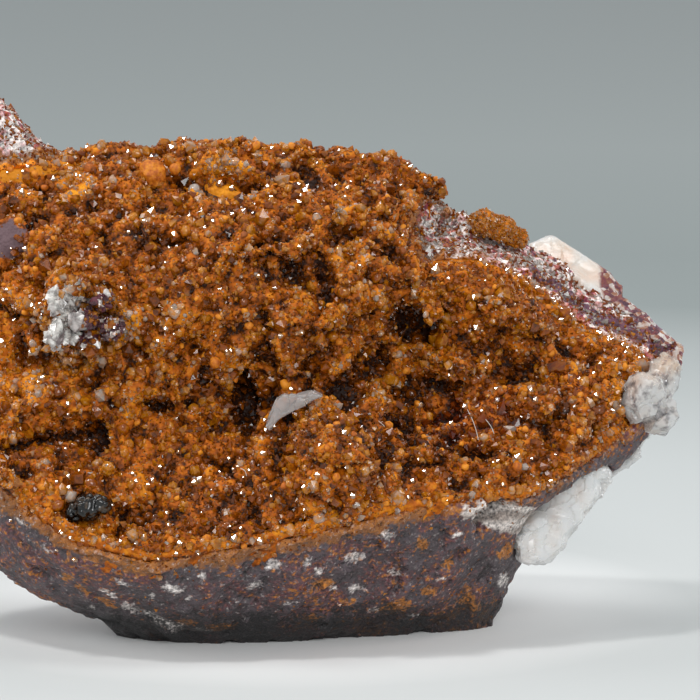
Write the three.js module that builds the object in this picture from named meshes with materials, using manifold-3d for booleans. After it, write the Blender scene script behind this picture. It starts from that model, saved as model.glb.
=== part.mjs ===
// Quartz on barite: a hand-sized mineral specimen. A crust of small iron-stained quartz crystals lines an
// open hollow in a dark, hematite-rich host rock, and white barite shows at the right end and on the back.
// Millimetres, +Z up. X runs along the specimen, -Y is the side with the hollow, and the flat foot is at Z 0.
import * as THREE from "three";
import { mergeVertices } from "three/addons/utils/BufferGeometryUtils.js";
import Module from "manifold-3d";

const wasm = await Module();
wasm.setup();

// ---------------------------------------------------------------- driving dimensions, in millimetres

const SEAT_GAP = 0.35; // clearance between two minerals that touch
const SLIVER = 0.1; // detail finer than this along a cut is left out
const CRUST_DEPTH = 1.3; // how far the crust is let into the host rock
const CRUST_RISE = 0.8; // how far the crust stands above the rock around it
const CRUST_ROUGH = 0.6; // how far its lumps stand in or out
const CRUST_BACK = 3; // the crust lies in front of this y
const CREST_BACK = 9; // except on the top ridge, where it goes over to the back as far as this
const POINT_COUNT = 44; // larger quartz points on the crust
const POINT_SPREAD = { halfWidth: 38, halfHeight: 23.6, middle: 30 }; // the oval in X and Z that they fill
const FAR = 60; // clear of the whole specimen
const HEART = new THREE.Vector2(1, 19.5); // X and Z of the line that the rock is built around

const ROCK_DETAIL = 11; // how finely the surfaces of the rock, of its bed and of the crust are divided
const OUTLINE_SAMPLES = 400;
const SHOULDER_POWER = 9; // how late the front face turns into the sides
const BACK_POWER = 6; // the same for the back face
const LEAST_TAPER = 7; // the least half thickness at the heart, thinning evenly to nothing at the outline
const LUMP_WIDTH = 4.6; // the lumps all over the rock
const LUMP_HEIGHT = 0.6;
const LIP_FADE = 3; // the lip itself stays free of lumps and pits, up to this height above it

// The widest outline of the rock, as x, y, z, from the right-hand point over the top and round to the left.
const OUTLINE = [
  // the right-hand point and the slope behind it
  [40.5, 4, 27.3], [39.9, 5, 28.5], [37.2, 7, 30.3], [34.4, 9, 31.8], [31.8, 10, 33.7], [28.7, 11, 35.9],
  // the step on the top right
  [25.3, 11, 37.6], [22.9, 9, 38.8], [20.4, 8, 39.8], [18.4, 8, 41.0], [16.7, 6, 43.3], [15.4, 5, 46.0],
  // the top ridge
  [10.2, 5, 47.4], [5.2, 6, 47.8], [-0.9, 6, 48.4], [-5.9, 6, 48.8], [-12.9, 6, 48.4], [-18.0, 6, 48.5],
  // the ridge runs on under the peak
  [-23.0, 6, 47.8], [-28.0, 6, 47.4], [-33.0, 6, 46.6],
  // the left end
  [-36.6, 5, 45.2], [-38.7, 4, 41.6], [-40.1, 2, 35.0], [-40.6, 0, 27.2], [-39.2, -2, 19.4],
  [-36.2, -3, 13.5],
  // the underside rises to the left; from here on the rock reaches below its foot, which is cut flat
  [-32.2, -4, 9.1], [-27.7, -5, 6.2], [-23.1, -5, 3.7], [-17.6, -4, 0.9], [-12.6, -2, -4.0], [-6.0, 0, -7.5],
  [2.0, 1, -9.0], [10.0, 1, -8.5], [16.5, 1, -5.5], [20.6, 1, -1.2],
  // the lower right corner, and the flank that leans out to the point
  [22.2, 1, 0.9], [23.9, 1, 4.6], [24.8, 2, 6.2], [26.8, 3, 9.8], [29.9, 4, 12.8], [32.8, 3, 14.8],
  [35.9, 3, 17.4], [37.8, 3, 20.6], [39.3, 3, 23.6],
];

// The peak that stands on the left end, as x, z. It runs from front to back in y, and thins to its top.
const PEAK_OUTLINE = [
  [-22.6, 44.0], [-23.0, 47.4], [-24.6, 48.9], [-26.4, 50.9], [-28.4, 52.9], [-30.6, 54.2], [-33.4, 53.0],
  [-35.4, 49.4], [-35.8, 45.4], [-31.0, 40.0], [-26.0, 40.0],
];
const PEAK_FRONT = 0;
const PEAK_BACK = 10.5;
const PEAK_BEVEL = 2;
const PEAK_THINNING = { from: 43, to: 55, left: 0.5 };

// The lip of the hollow, which is the line nearest to -Y, as x, y, z from left to right.
const LIP = [
  [-42, -2, 27.0], [-34, -12, 21.5], [-26.6, -17, 17.0], [-19.8, -19, 12.2], [-12.0, -20, 10.2],
  [-4.8, -19.5, 11.2], [2.4, -18, 12.4], [11.0, -15, 14.2], [20.0, -13, 15.2], [24.0, -12, 14.6],
  [31.8, -8, 18.2], [36.0, -5, 22.0], [42.0, 3, 28.0],
];
const FOOT_FRONT = { atZero: -7.4, slope: 0.206 }; // y of the front edge of the foot along x

// The front edge of the bare shelf on the upper right, as x, y, z.
const SHELF_EDGE = [
  [11.4, 10, 60.0], [12.8, 2, 40.0], [14.2, -3, 36.6], [20.0, -5, 36.8], [24.0, -5, 35.2], [28.0, -5, 32.2],
  [31.0, -4, 29.9], [36.0, -2, 29.3], [41.0, 3, 28.4],
];
const SHELF_FALL_BACK = 2.9; // the shelf runs this far back for each millimetre that it rises

// Above the lip the hollow has a floor, then a steep wall, then a brow that leans back.
const FLOOR_HEIGHT = 10.5;
const FLOOR_FALL_BACK = 0.86;
const WALL_TOP = 25;
const WALL_FALL_BACK = 0.12;
const BROW_FALL_BACK = 0.62;

// Lumps (out above 0) and pits (out below 0) on the front: middle x and z, half widths, turn in degrees.
const RELIEF = [
  { name: "dome in the middle", x: 5.6, z: 21.5, wide: 5.4, high: 5.2, turn: 0, out: 7.6 },
  { name: "cavity right of the dome", x: 14.0, z: 29.5, wide: 6.5, high: 3.8, turn: 20, out: -5.4 },
  { name: "cavity left of the dome", x: -4.2, z: 24.6, wide: 5.6, high: 2.6, turn: -8, out: -5.0 },
  { name: "deep hole over the dome", x: 8.4, z: 26.8, wide: 2.6, high: 1.8, turn: 10, out: -5.6 },
  { name: "slot under the ledge", x: 14.6, z: 24.4, wide: 4.2, high: 1.5, turn: 4, out: -5.6 },
  { name: "ledge across the cavity", x: 16.8, z: 27.4, wide: 5.4, high: 1.5, turn: -14, out: 4.2 },
  { name: "lobe under the shelf", x: 22.5, z: 32.8, wide: 8.5, high: 3.6, turn: -18, out: 3.6 },
  { name: "hollow under the lobe", x: 24.5, z: 27.6, wide: 6.6, high: 2.6, turn: -12, out: -3.0 },
  { name: "swell before the right corner", x: 30.5, z: 24.0, wide: 5.0, high: 4.0, turn: -20, out: 1.8 },
  { name: "groove under the ridge", x: -4.0, z: 44.0, wide: 9.5, high: 1.5, turn: -10, out: -2.4 },
  { name: "shelf below the groove", x: -2.0, z: 40.4, wide: 9.0, high: 1.8, turn: -6, out: 1.6 },
  { name: "hollow above the middle", x: 1.0, z: 36.6, wide: 6.0, high: 2.0, turn: 12, out: -2.0 },
  { name: "shoulder above the cavity", x: 6.0, z: 33.6, wide: 4.2, high: 3.0, turn: 30, out: 2.6 },
  { name: "knot at the left", x: -18.6, z: 33.2, wide: 4.2, high: 4.0, turn: 0, out: 2.4 },
  { name: "pit below the knot", x: -21.0, z: 28.6, wide: 4.6, high: 2.0, turn: 8, out: -2.8 },
  { name: "swell at the lower left", x: -22.5, z: 24.6, wide: 5.0, high: 2.2, turn: 0, out: 2.0 },
  { name: "slot at the lower left", x: -20.2, z: 20.8, wide: 4.6, high: 1.6, turn: -4, out: -3.0 },
  { name: "pit behind the lip", x: -8.2, z: 13.4, wide: 6.8, high: 1.7, turn: -6, out: -2.0 },
];

// Broken faces of the back, each y = away + acrossX * x + upZ * z; the nearest one wins.
const BACK_FACES = [
  { name: "middle", away: 22.5, acrossX: -0.1, upZ: -0.08 },
  { name: "left", away: 27.5, acrossX: 0.46, upZ: -0.04 },
  { name: "right", away: 26.5, acrossX: -0.58, upZ: 0.05 },
  { name: "top", away: 47.0, acrossX: -0.06, upZ: -0.82 },
  { name: "lower", away: 13.5, acrossX: 0.05, upZ: 0.52 },
];

// Flat broken faces of the left end and the underside: nothing reaches beyond them.
const BREAKS = [
  { name: "left end", through: [-38.0, -6, 24], normal: [-1, -0.42, -0.06] },
  { name: "left end, upper", through: [-37.6, 0, 36], normal: [-0.93, -0.2, 0.3] },
  { name: "back left", through: [-33.0, 10, 26], normal: [-0.78, 0.62, 0.05] },
  { name: "under the left end", through: [-35.4, 3, 11], normal: [-0.6, 0.2, -0.77] },
  { name: "front left, below the lip", through: [-28.5, -13.5, 14], normal: [-0.55, -0.7, -0.45] },
  { name: "front, below the lip", through: [2.0, -13.4, 6], normal: [0.16, -0.84, -0.52] },
];

const LEDGE_HEIGHT = 11; // low ledges run across the back along the bedding of the rock
const LEDGE_DEPTH = 1.5;
const BEDDING_DIP = 0.35;

// The boundary of the crust seen along Y, as x, z. Past the top ridge it only has to clear the outline.
const CRUST_EDGE = [
  [-35.5, 21.8], [-31.0, 19.6], [-26.6, 17.4], [-19.8, 12.6], [-12.0, 10.7], [-4.8, 11.6], [2.4, 12.8],
  [11.0, 14.7], [20.0, 15.8], [24.0, 15.0], [27.8, 16.6], [31.8, 18.7], [34.7, 20.6], [35.6, 23.9],
  [35.9, 26.0], [36.5, 27.4], [35.0, 28.6], [31.0, 29.6], [27.9, 32.2], [24.0, 35.2],
  [20.0, 36.8], [16.1, 36.7], [13.6, 36.6], [13.0, 39.3], [12.2, 42.4], [14.6, 43.4], [17.2, 43.0],
  [18.2, 46.2], [16.0, 53.0], [-21.6, 55.0], [-22.2, 48.8], [-23.6, 47.0], [-28.0, 46.0], [-31.6, 44.6],
  [-34.4, 40.0], [-36.4, 33.0], [-36.8, 26.4],
];

// The part of the crust that goes over the top ridge, in the same way.
const CREST_EDGE = [
  [-21.6, 44.8], [12.2, 42.4], [14.6, 43.4], [17.2, 43.0], [18.2, 46.2], [16.0, 53.0], [-21.6, 55.0],
];

// ---------------------------------------------------------------- small tools

// A number from 0 to 1 that depends only on three whole numbers.
function hash(i, j, k) {
  const mixed = Math.sin(i * 127.1 + j * 311.7 + k * 74.7) * 43758.5453;
  return mixed - Math.floor(mixed);
}

// Smooth noise from -1 to 1 with one lump per unit.
function lumps(x, y, z) {
  const [i, j, k] = [Math.floor(x), Math.floor(y), Math.floor(z)];
  const ease = (t) => t * t * (3 - 2 * t);
  const [fx, fy, fz] = [ease(x - i), ease(y - j), ease(z - k)];
  const row = (dj, dk) => THREE.MathUtils.lerp(hash(i, j + dj, k + dk), hash(i + 1, j + dj, k + dk), fx);
  const sheet = (dk) => THREE.MathUtils.lerp(row(0, dk), row(1, dk), fy);
  return 2 * THREE.MathUtils.lerp(sheet(0), sheet(1), fz) - 1;
}

// The y and z of a left-to-right line of [x, y, z] points at x.
function lineAt(line, x) {
  const last = line.length - 1;
  const found = line.findIndex((point) => point[0] > x);
  const right = found < 0 ? last : Math.max(1, found);
  const [a, b] = [line[right - 1], line[right]];
  const share = THREE.MathUtils.clamp((x - a[0]) / (b[0] - a[0]), 0, 1);
  return { y: THREE.MathUtils.lerp(a[1], b[1], share), z: THREE.MathUtils.lerp(a[2], b[2], share) };
}

// A copy of a geometry that holds only positions, with the vertices shared that lie in one place.
function withSharedVertices(geometry) {
  const bare = geometry.clone();
  bare.deleteAttribute("normal");
  bare.deleteAttribute("uv");
  return mergeVertices(bare, 1e-3);
}

// A closed three.js geometry as a manifold-3d solid, placed by a matrix.
function solidOf(geometry, matrix = new THREE.Matrix4()) {
  const merged = withSharedVertices(geometry).applyMatrix4(matrix);
  const vertProperties = merged.getAttribute("position").array;
  const triVerts = new Uint32Array(merged.getIndex().array);
  return new wasm.Manifold(new wasm.Mesh({ numProp: 3, vertProperties, triVerts }));
}

// A manifold-3d solid as a three.js geometry.
function geometryOf(solid) {
  const { vertProperties, triVerts } = solid.getMesh();
  const geometry = new THREE.BufferGeometry();
  geometry.setAttribute("position", new THREE.BufferAttribute(new Float32Array(vertProperties), 3));
  geometry.setIndex(new THREE.BufferAttribute(new Uint32Array(triVerts), 1));
  return geometry;
}

// The biggest of the bodies that a cut has left, without the slivers along the cut.
function biggest(solid) {
  const tidied = solidOf(geometryOf(solid.simplify(SLIVER)));
  return tidied.decompose().reduce((a, b) => (b.volume() > a.volume() ? b : a));
}

// A manifold-3d solid as a named mesh.
function meshOf(name, solid, material) {
  const geometry = geometryOf(solid);
  geometry.computeVertexNormals();
  const mesh = new THREE.Mesh(geometry, material);
  mesh.name = name;
  return mesh;
}

// A matrix that puts something at a place, turned by three angles in degrees, X first.
function placed([x, y, z], [turnX, turnY, turnZ] = [0, 0, 0]) {
  const turn = new THREE.Euler(...[turnX, turnY, turnZ].map(THREE.MathUtils.degToRad), "ZYX");
  const rotation = new THREE.Quaternion().setFromEuler(turn);
  return new THREE.Matrix4().compose(new THREE.Vector3(x, y, z), rotation, new THREE.Vector3(1, 1, 1));
}

// ---------------------------------------------------------------- the shape of the host rock

function reliefAt(x, z) {
  return RELIEF.reduce((sum, { x: midX, z: midZ, wide, high, turn, out }) => {
    const angle = THREE.MathUtils.degToRad(turn);
    const along = (x - midX) * Math.cos(angle) + (z - midZ) * Math.sin(angle);
    const across = (z - midZ) * Math.cos(angle) - (x - midX) * Math.sin(angle);
    return sum + out * Math.exp(-((along / wide) ** 2) - (across / high) ** 2);
  }, 0);
}

// How deep the front face lies at x and z, in y.
function frontDepth(x, z) {
  const lip = lineAt(LIP, x);
  const above = z - lip.z;
  const foot = FOOT_FRONT.atZero + FOOT_FRONT.slope * x;
  if (above < 0) return lip.y + ((foot - lip.y) * -above) / lip.z;
  const onFloor = Math.min(above, FLOOR_HEIGHT);
  const onWall = THREE.MathUtils.clamp(above - FLOOR_HEIGHT, 0, WALL_TOP - FLOOR_HEIGHT);
  const onBrow = Math.max(above - WALL_TOP, 0);
  const hollow = FLOOR_FALL_BACK * onFloor + WALL_FALL_BACK * onWall + BROW_FALL_BACK * onBrow;
  const lipFade = THREE.MathUtils.smoothstep(above, 0, LIP_FADE);
  const face = lip.y + hollow - lipFade * reliefAt(x, z);
  const shelf = lineAt(SHELF_EDGE, x);
  return Math.max(face, shelf.y + SHELF_FALL_BACK * (z - shelf.z));
}

// How far away the back face lies at x and z, in y, with low ledges along the bedding of the rock.
function backDepth(x, z) {
  const nearest = Math.min(...BACK_FACES.map(({ away, acrossX, upZ }) => away + acrossX * x + upZ * z));
  const bedding = (z + BEDDING_DIP * x) / LEDGE_HEIGHT;
  return nearest - LEDGE_DEPTH * (bedding - Math.floor(bedding));
}

// Where a ray from the heart, at an angle in the X-Z plane, meets the outline.
function rimAt(outline, angle) {
  const next = outline.findIndex((sample) => sample.angle > angle);
  const after = outline[Math.max(next, 0)];
  const before = outline.at(next < 0 ? -1 : next - 1);
  const turn = 2 * Math.PI;
  const gap = (after.angle - before.angle + turn) % turn;
  const share = gap === 0 ? 0 : ((angle - before.angle + turn) % turn) / gap;
  return before.point.clone().lerp(after.point, share);
}

// A point, moved straight back to each broken face that it lies beyond.
function withinBreaks(point) {
  BREAKS.forEach(({ through, normal }) => {
    const out = new THREE.Vector3(...normal).normalize();
    const beyond = out.dot(point) - out.dot(new THREE.Vector3(...through));
    point.addScaledVector(out, -Math.max(beyond, 0));
  });
  return point;
}

// The closed surface of the rock: a ball of even triangles, stretched so that its equator is the outline.
function rockSurface(detail) {
  const points = OUTLINE.map(([x, y, z]) => new THREE.Vector3(x, y, z));
  const outline = new THREE.CatmullRomCurve3(points, true, "centripetal")
    .getSpacedPoints(OUTLINE_SAMPLES)
    .map((point) => ({ point, angle: Math.atan2(point.z - HEART.y, point.x - HEART.x) }))
    .sort((a, b) => a.angle - b.angle);
  const geometry = withSharedVertices(new THREE.IcosahedronGeometry(1, detail));
  const position = geometry.getAttribute("position");
  for (let i = 0; i < position.count; i++) {
    const way = new THREE.Vector3().fromBufferAttribute(position, i);
    const fromPole = Math.acos(Math.min(Math.abs(way.y), 1));
    const share = 0.5 * (fromPole / (Math.PI / 2)) + 0.5 * Math.sin(fromPole);
    const rim = rimAt(outline, Math.atan2(way.z, way.x));
    const flat = new THREE.Vector2(rim.x, rim.z).sub(HEART).multiplyScalar(share).add(HEART);
    const inset = LEAST_TAPER * (1 - share);
    const front = Math.min(frontDepth(flat.x, flat.y), rim.y - inset);
    const back = Math.max(backDepth(flat.x, flat.y), rim.y + inset);
    const turned = Math.pow(share, way.y < 0 ? SHOULDER_POWER : BACK_POWER);
    const y = THREE.MathUtils.lerp(way.y < 0 ? front : back, rim.y, turned);
    const kept = withinBreaks(new THREE.Vector3(flat.x, y, flat.y));
    position.setXYZ(i, kept.x, kept.y, kept.z);
  }
  return geometry;
}

// The rock surface with its lumps as a solid, moved out by grow. Rough adds crystal-sized bumps.
function rockSolid(detail, grow = 0, rough = 0) {
  const geometry = rockSurface(detail);
  geometry.computeVertexNormals();
  const position = geometry.getAttribute("position");
  const normal = geometry.getAttribute("normal");
  for (let i = 0; i < position.count; i++) {
    const core = new THREE.Vector3().fromBufferAttribute(position, i);
    const { x, y, z } = core;
    const [wide, fine] = [LUMP_WIDTH, LUMP_WIDTH / 2];
    const wave = lumps(x / wide, y / wide, z / wide) + 0.5 * lumps(z / fine, x / fine, y / fine);
    const bump = rough * (2 * hash(i, 5, 5) - 1);
    const out = new THREE.Vector3().fromBufferAttribute(normal, i);
    core.addScaledVector(out, grow + LUMP_HEIGHT * wave + bump);
    position.setXYZ(i, core.x, core.y, core.z);
  }
  return solidOf(geometry);
}

// Everything inside a boundary seen along Y, between two depths. Wider moves its walls and its back out.
function columnOf(boundary, front, back, wider = 0) {
  const corners = boundary.map(([x, z]) => new THREE.Vector2(x, z));
  const moved = corners.map((corner, i) => {
    const before = corners.at(i - 1);
    const after = corners[(i + 1) % corners.length];
    const along = after.clone().sub(before).normalize();
    return new THREE.Vector2(corner.x + along.y * wider, corner.y - along.x * wider);
  });
  const depth = back + wider - front;
  const column = new THREE.ExtrudeGeometry(new THREE.Shape(moved), { depth, bevelEnabled: false });
  // The extrusion runs along +Z. A quarter turn about X lays its outline in the X-Z plane, running to -Y.
  return solidOf(column, placed([0, back + wider, 0], [90, 0, 0]));
}

// The peak, with bevelled edges. It is wider and longer by grow on every side.
function peakSolid(grow = 0) {
  const shape = new THREE.Shape(PEAK_OUTLINE.map(([x, z]) => new THREE.Vector2(x, z)));
  const depth = PEAK_BACK - PEAK_FRONT - 2 * PEAK_BEVEL;
  const bevelOffset = grow - PEAK_BEVEL;
  const bevels = { bevelThickness: PEAK_BEVEL + grow, bevelSize: PEAK_BEVEL, bevelOffset, bevelSegments: 1 };
  const block = new THREE.ExtrudeGeometry(shape, { depth, ...bevels });
  block.applyMatrix4(placed([0, PEAK_BACK - PEAK_BEVEL, 0], [90, 0, 0]));
  const position = block.getAttribute("position");
  const middle = (PEAK_FRONT + PEAK_BACK) / 2;
  for (let i = 0; i < position.count; i++) {
    const { from, to, left } = PEAK_THINNING;
    const upward = THREE.MathUtils.clamp((position.getZ(i) - from) / (to - from), 0, 1);
    const kept = THREE.MathUtils.lerp(1, left, upward);
    position.setY(i, middle + (position.getY(i) - middle) * kept);
  }
  return solidOf(block);
}

function belowFoot() {
  return solidOf(new THREE.BoxGeometry(200, 200, 40), placed([0, 0, -20]));
}

// ---------------------------------------------------------------- quartz

// A six-sided solid of revolution about Z from a profile of [radius, z] points.
function sixSided(profile) {
  const lathe = new THREE.LatheGeometry(profile.map(([radius, z]) => new THREE.Vector2(radius, z)), 6);
  return lathe.rotateX(Math.PI / 2);
}

// The point of a quartz crystal that is otherwise buried in the crust.
const quartzPoint = (radius, height, root) => sixSided([[0, -root], [radius, 0], [0, height]]);

// A quartz crystal that shows its prism as well, on a root of the same width.
const quartzPrism = (radius, height, root) =>
  sixSided([[0, -root], [radius, -root], [radius, height * 0.4], [0, height]]);

// The direction that the front face of the rock looks in at x and z.
function frontNormal(x, z) {
  const step = 0.8;
  const slopeX = (frontDepth(x + step, z) - frontDepth(x - step, z)) / (2 * step);
  const slopeZ = (frontDepth(x, z + step) - frontDepth(x, z - step)) / (2 * step);
  return new THREE.Vector3(slopeX, -1, slopeZ).normalize();
}

// A matrix that stands something on the front face at x and z, leaning a little.
function standingAt(x, z, rise, lean, seed) {
  const normal = frontNormal(x, z);
  const tilt = new THREE.Vector3(hash(seed, 1, 1) - 0.5, hash(seed, 2, 1) - 0.5, hash(seed, 3, 1) - 0.5);
  const axis = normal.clone().addScaledVector(tilt, lean).normalize();
  const turn = new THREE.Quaternion().setFromUnitVectors(new THREE.Vector3(0, 0, 1), axis);
  const spin = new THREE.Quaternion().setFromAxisAngle(new THREE.Vector3(0, 0, 1), 6.28 * hash(seed, 4, 1));
  const foot = new THREE.Vector3(x, frontDepth(x, z), z).addScaledVector(normal, rise);
  return new THREE.Matrix4().compose(foot, turn.multiply(spin), new THREE.Vector3(1, 1, 1));
}

// Larger quartz points of the crust, strewn over its front in a sunflower pattern.
function strewnPoints(count) {
  const found = [];
  const goldenAngle = Math.PI * (3 - Math.sqrt(5));
  for (let n = 0; n < count; n++) {
    const reach = Math.sqrt((n + 0.5) / count);
    const x = POINT_SPREAD.halfWidth * reach * Math.cos(n * goldenAngle);
    const z = POINT_SPREAD.middle + POINT_SPREAD.halfHeight * reach * Math.sin(n * goldenAngle);
    const radius = 0.9 + 0.8 * hash(n, 7, 7);
    found.push(solidOf(quartzPoint(radius, 1.5 * radius, 1.2), standingAt(x, z, CRUST_RISE, 0.9, n)));
  }
  return found;
}

// The knot of clearer, larger crystals at the left, each at [x, z].
const KNOT_PLACES = [
  [-18.6, 33.0], [-20.7, 33.9], [-17.0, 34.6], [-19.2, 35.4], [-18.2, 30.8], [-16.2, 32.2], [-20.9, 31.4],
  [-19.8, 29.8],
];
const KNOT_HEIGHT = 2.1;
const KNOT_ROOT = 2.2;

// Grow makes the space that the knot takes.
function quartzKnot(grow = 0) {
  const crystals = KNOT_PLACES.map(([x, z], n) => {
    const radius = 1.1 + 0.45 * hash(n, 3, 9) + grow;
    const crystal = quartzPrism(radius, KNOT_HEIGHT + grow, KNOT_ROOT + grow);
    return solidOf(crystal, standingAt(x, z, CRUST_RISE, 0.8, n + 90));
  });
  return wasm.Manifold.union(crystals);
}

// ---------------------------------------------------------------- barite and goethite

// One barite crystal: a six-sided plate with one bevelled face, as long as X, as wide as Y, as thick as Z.
function baritePlate(length, width, thick, grow = 0) {
  const [halfX, halfY, halfZ] = [length / 2 + grow, width / 2 + grow, thick / 2 + grow];
  const bevel = Math.min(thick, width) * 0.3;
  const corner = halfX - halfY * 0.7;
  const shape = new THREE.Shape([
    new THREE.Vector2(halfX, 0), new THREE.Vector2(corner, halfY), new THREE.Vector2(-corner, halfY),
    new THREE.Vector2(-halfX, 0), new THREE.Vector2(-corner, -halfY), new THREE.Vector2(corner, -halfY),
  ]);
  const plate = new THREE.ExtrudeGeometry(shape, { depth: 2 * halfZ, bevelEnabled: false });
  plate.translate(0, 0, -halfZ);
  const position = plate.getAttribute("position");
  for (let i = 0; i < position.count; i++) {
    if (position.getZ(i) < 0) continue;
    position.setX(i, position.getX(i) * (1 - bevel / halfX));
    position.setY(i, position.getY(i) * (1 - bevel / halfY));
  }
  return plate;
}

// Plates grown together, each { size: [length, width, thick], at: [x, y, z], turn: [degrees about X, Y, Z] }.
function grownTogether(plates, grow = 0) {
  const solids = plates.map(({ size, at, turn }) => solidOf(baritePlate(...size, grow), placed(at, turn)));
  return wasm.Manifold.union(solids);
}

// The wedge of cleaved barite under the right-hand overhang, in sheets that lie along its lower edge.
const WEDGE_PLATES = [
  { size: [12.5, 5.4, 2.2], at: [27.9, -1.8, 11.9], turn: [82, -52, 0] },
  { size: [7.5, 4.4, 2.2], at: [30.2, -0.8, 14.9], turn: [74, -62, 10] },
  { size: [7.0, 5.0, 2.2], at: [26.2, -2.8, 9.5], turn: [92, -44, -6] },
  { size: [8.4, 4.2, 2.6], at: [21.9, -9.8, 12.2], turn: [70, 40, -14] },
  { size: [8.5, 3.4, 1.6], at: [30.6, 1.0, 13.2], turn: [98, -56, 16] },
];

// The barite at the right end: blocky crystals on the front of the corner.
const CORNER_PLATES = [
  { size: [6.4, 4.4, 2.8], at: [36.7, -1.7, 23.6], turn: [80, -62, 24] },
  { size: [4.8, 4.0, 2.4], at: [38.3, -0.2, 21.8], turn: [70, -40, 34] },
  { size: [5.4, 3.8, 2.4], at: [38.8, 0.4, 25.4], turn: [88, -76, 40] },
];

// The blade that stands on the back of the shelf, with its upper edge along the slope.
const BLADE_PLATES = [
  { size: [11.0, 4.6, 1.8], at: [29.9, 12.6, 34.7], turn: [68, 33, -4] },
  { size: [5.0, 4.0, 1.6], at: [33.3, 11.8, 32.6], turn: [60, 36, 8] },
];

// The boundary, seen along Y, of the barite that coats the back of the right end, as x, z.
const LAYER_EDGE = [
  [23.0, 33.0], [27.0, 35.6], [30.6, 34.6], [34.0, 32.8], [37.6, 31.0], [41.6, 29.6], [43.0, 26.6],
  [41.0, 20.6], [37.6, 17.4], [34.0, 14.0], [31.0, 11.0], [27.6, 7.6], [24.0, 8.6], [21.0, 14.0],
  [19.4, 20.4], [20.4, 27.0],
];
const LAYER_FRONT = 1.5; // it starts behind this y
const LAYER_RISE = 0.75;
const LAYER_SHIFT = 1.8; // thicker than its rise on the faces that look away

// The grey translucent chip over the deep cavity.
const FLAKE_PLATES = [
  { size: [5.0, 3.4, 1.4], at: [1.2, -10.8, 25.0], turn: [72, -22, -6] },
];

// Black goethite in grape-like balls, each [x, y, z, radius] from the middle one, in the floor of the hollow.
const GOETHITE_PLACE = new THREE.Vector2(-18.2, 15.2);
const GOETHITE_BALLS = [[0, 0, 0, 1.4], [1.3, -0.5, 0.4, 1.0], [-1.2, 0.2, -0.5, 1.0]];

function goethiteBalls(grow = 0) {
  const { x, y: z } = GOETHITE_PLACE;
  const y = frontDepth(x, z) - CRUST_RISE;
  return wasm.Manifold.union(GOETHITE_BALLS.map(([dx, dy, dz, radius], n) => {
    const ball = new THREE.IcosahedronGeometry(radius + grow, 1);
    return solidOf(ball, placed([x + dx, y + dy, z + dz], [30 * n, 50 * n, 0]));
  }));
}

// The orange knob of quartz that stands apart on the shelf, as balls of [x, y, z, radius].
const KNOB_BALLS = [[20.6, 5.6, 40.3, 1.9], [22.4, 6.2, 39.6, 1.9], [24.0, 6.6, 38.6, 1.5]];

function quartzKnob() {
  return wasm.Manifold.union(KNOB_BALLS.map(([x, y, z, radius], n) =>
    solidOf(new THREE.IcosahedronGeometry(radius, 1), placed([x, y, z], [40 * n, 25 * n, 0]))));
}

// ---------------------------------------------------------------- the specimen

const finish = (color, roughness) => new THREE.MeshStandardMaterial({ color, roughness, metalness: 0 });
const MATERIALS = {
  host_rock: finish(0x5a4a48, 0.8),
  stained_quartz: finish(0x9a541c, 0.35),
  clear_quartz: finish(0xc9bcae, 0.2),
  white_barite: finish(0xd6d0ca, 0.35),
  black_goethite: finish(0x1b1a18, 0.3),
};

const rock = rockSolid(ROCK_DETAIL).add(peakSolid());
const rockClearance = rockSolid(ROCK_DETAIL, SEAT_GAP);
const bed = rockSolid(ROCK_DETAIL, -CRUST_DEPTH);
const bedClearance = rockSolid(ROCK_DETAIL, SEAT_GAP - CRUST_DEPTH);
const foot = belowFoot();

const besideRock = (solid) => biggest(solid.subtract(rockClearance).subtract(foot));
const onBed = (solid) => biggest(solid.subtract(bedClearance));

const crustSpace = (wider = 0) =>
  columnOf(CRUST_EDGE, -FAR, CRUST_BACK, wider).add(columnOf(CREST_EDGE, -FAR, CREST_BACK, wider));
const crustGuard = crustSpace(SEAT_GAP).subtract(bed).subtract(peakSolid());
const frontPlates = [...WEDGE_PLATES, ...CORNER_PLATES];
const plateGuard = grownTogether(frontPlates, SEAT_GAP);
const matrixRock = biggest(rock.subtract(crustGuard).subtract(plateGuard).subtract(foot));

const layerBlank = rockSolid(ROCK_DETAIL, LAYER_RISE).translate([0, LAYER_SHIFT, 0]);
const layer = columnOf(LAYER_EDGE, LAYER_FRONT, FAR).intersect(layerBlank);
const bariteLayer = besideRock(grownTogether(BLADE_PLATES).add(layer).subtract(plateGuard));

const inTheCrust = [
  peakSolid(SEAT_GAP),
  plateGuard,
  grownTogether(BLADE_PLATES, SEAT_GAP),
  grownTogether(FLAKE_PLATES, SEAT_GAP),
  quartzKnot(SEAT_GAP),
  goethiteBalls(SEAT_GAP),
];
const crustBlank = crustSpace().intersect(
  wasm.Manifold.union([rockSolid(ROCK_DETAIL, CRUST_RISE, CRUST_ROUGH), ...strewnPoints(POINT_COUNT)]),
);
const crust = biggest(crustBlank.subtract(bedClearance).subtract(wasm.Manifold.union(inTheCrust)));

const nodes = [
  ["matrix_rock", matrixRock, "host_rock"],
  ["quartz_druse", crust, "stained_quartz"],
  ["quartz_knob", besideRock(quartzKnob()), "stained_quartz"],
  ["clear_quartz_knot", onBed(quartzKnot()), "clear_quartz"],
  ["barite_layer", bariteLayer, "white_barite"],
  ["barite_wedge", biggest(grownTogether(WEDGE_PLATES)), "white_barite"],
  ["barite_corner", biggest(grownTogether(CORNER_PLATES)), "white_barite"],
  ["barite_flake", onBed(grownTogether(FLAKE_PLATES)), "white_barite"],
  ["goethite_nodule", onBed(goethiteBalls()), "black_goethite"],
];

const specimen = new THREE.Group();
nodes.forEach(([name, solid, finishName]) => specimen.add(meshOf(name, solid, MATERIALS[finishName])));

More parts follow.
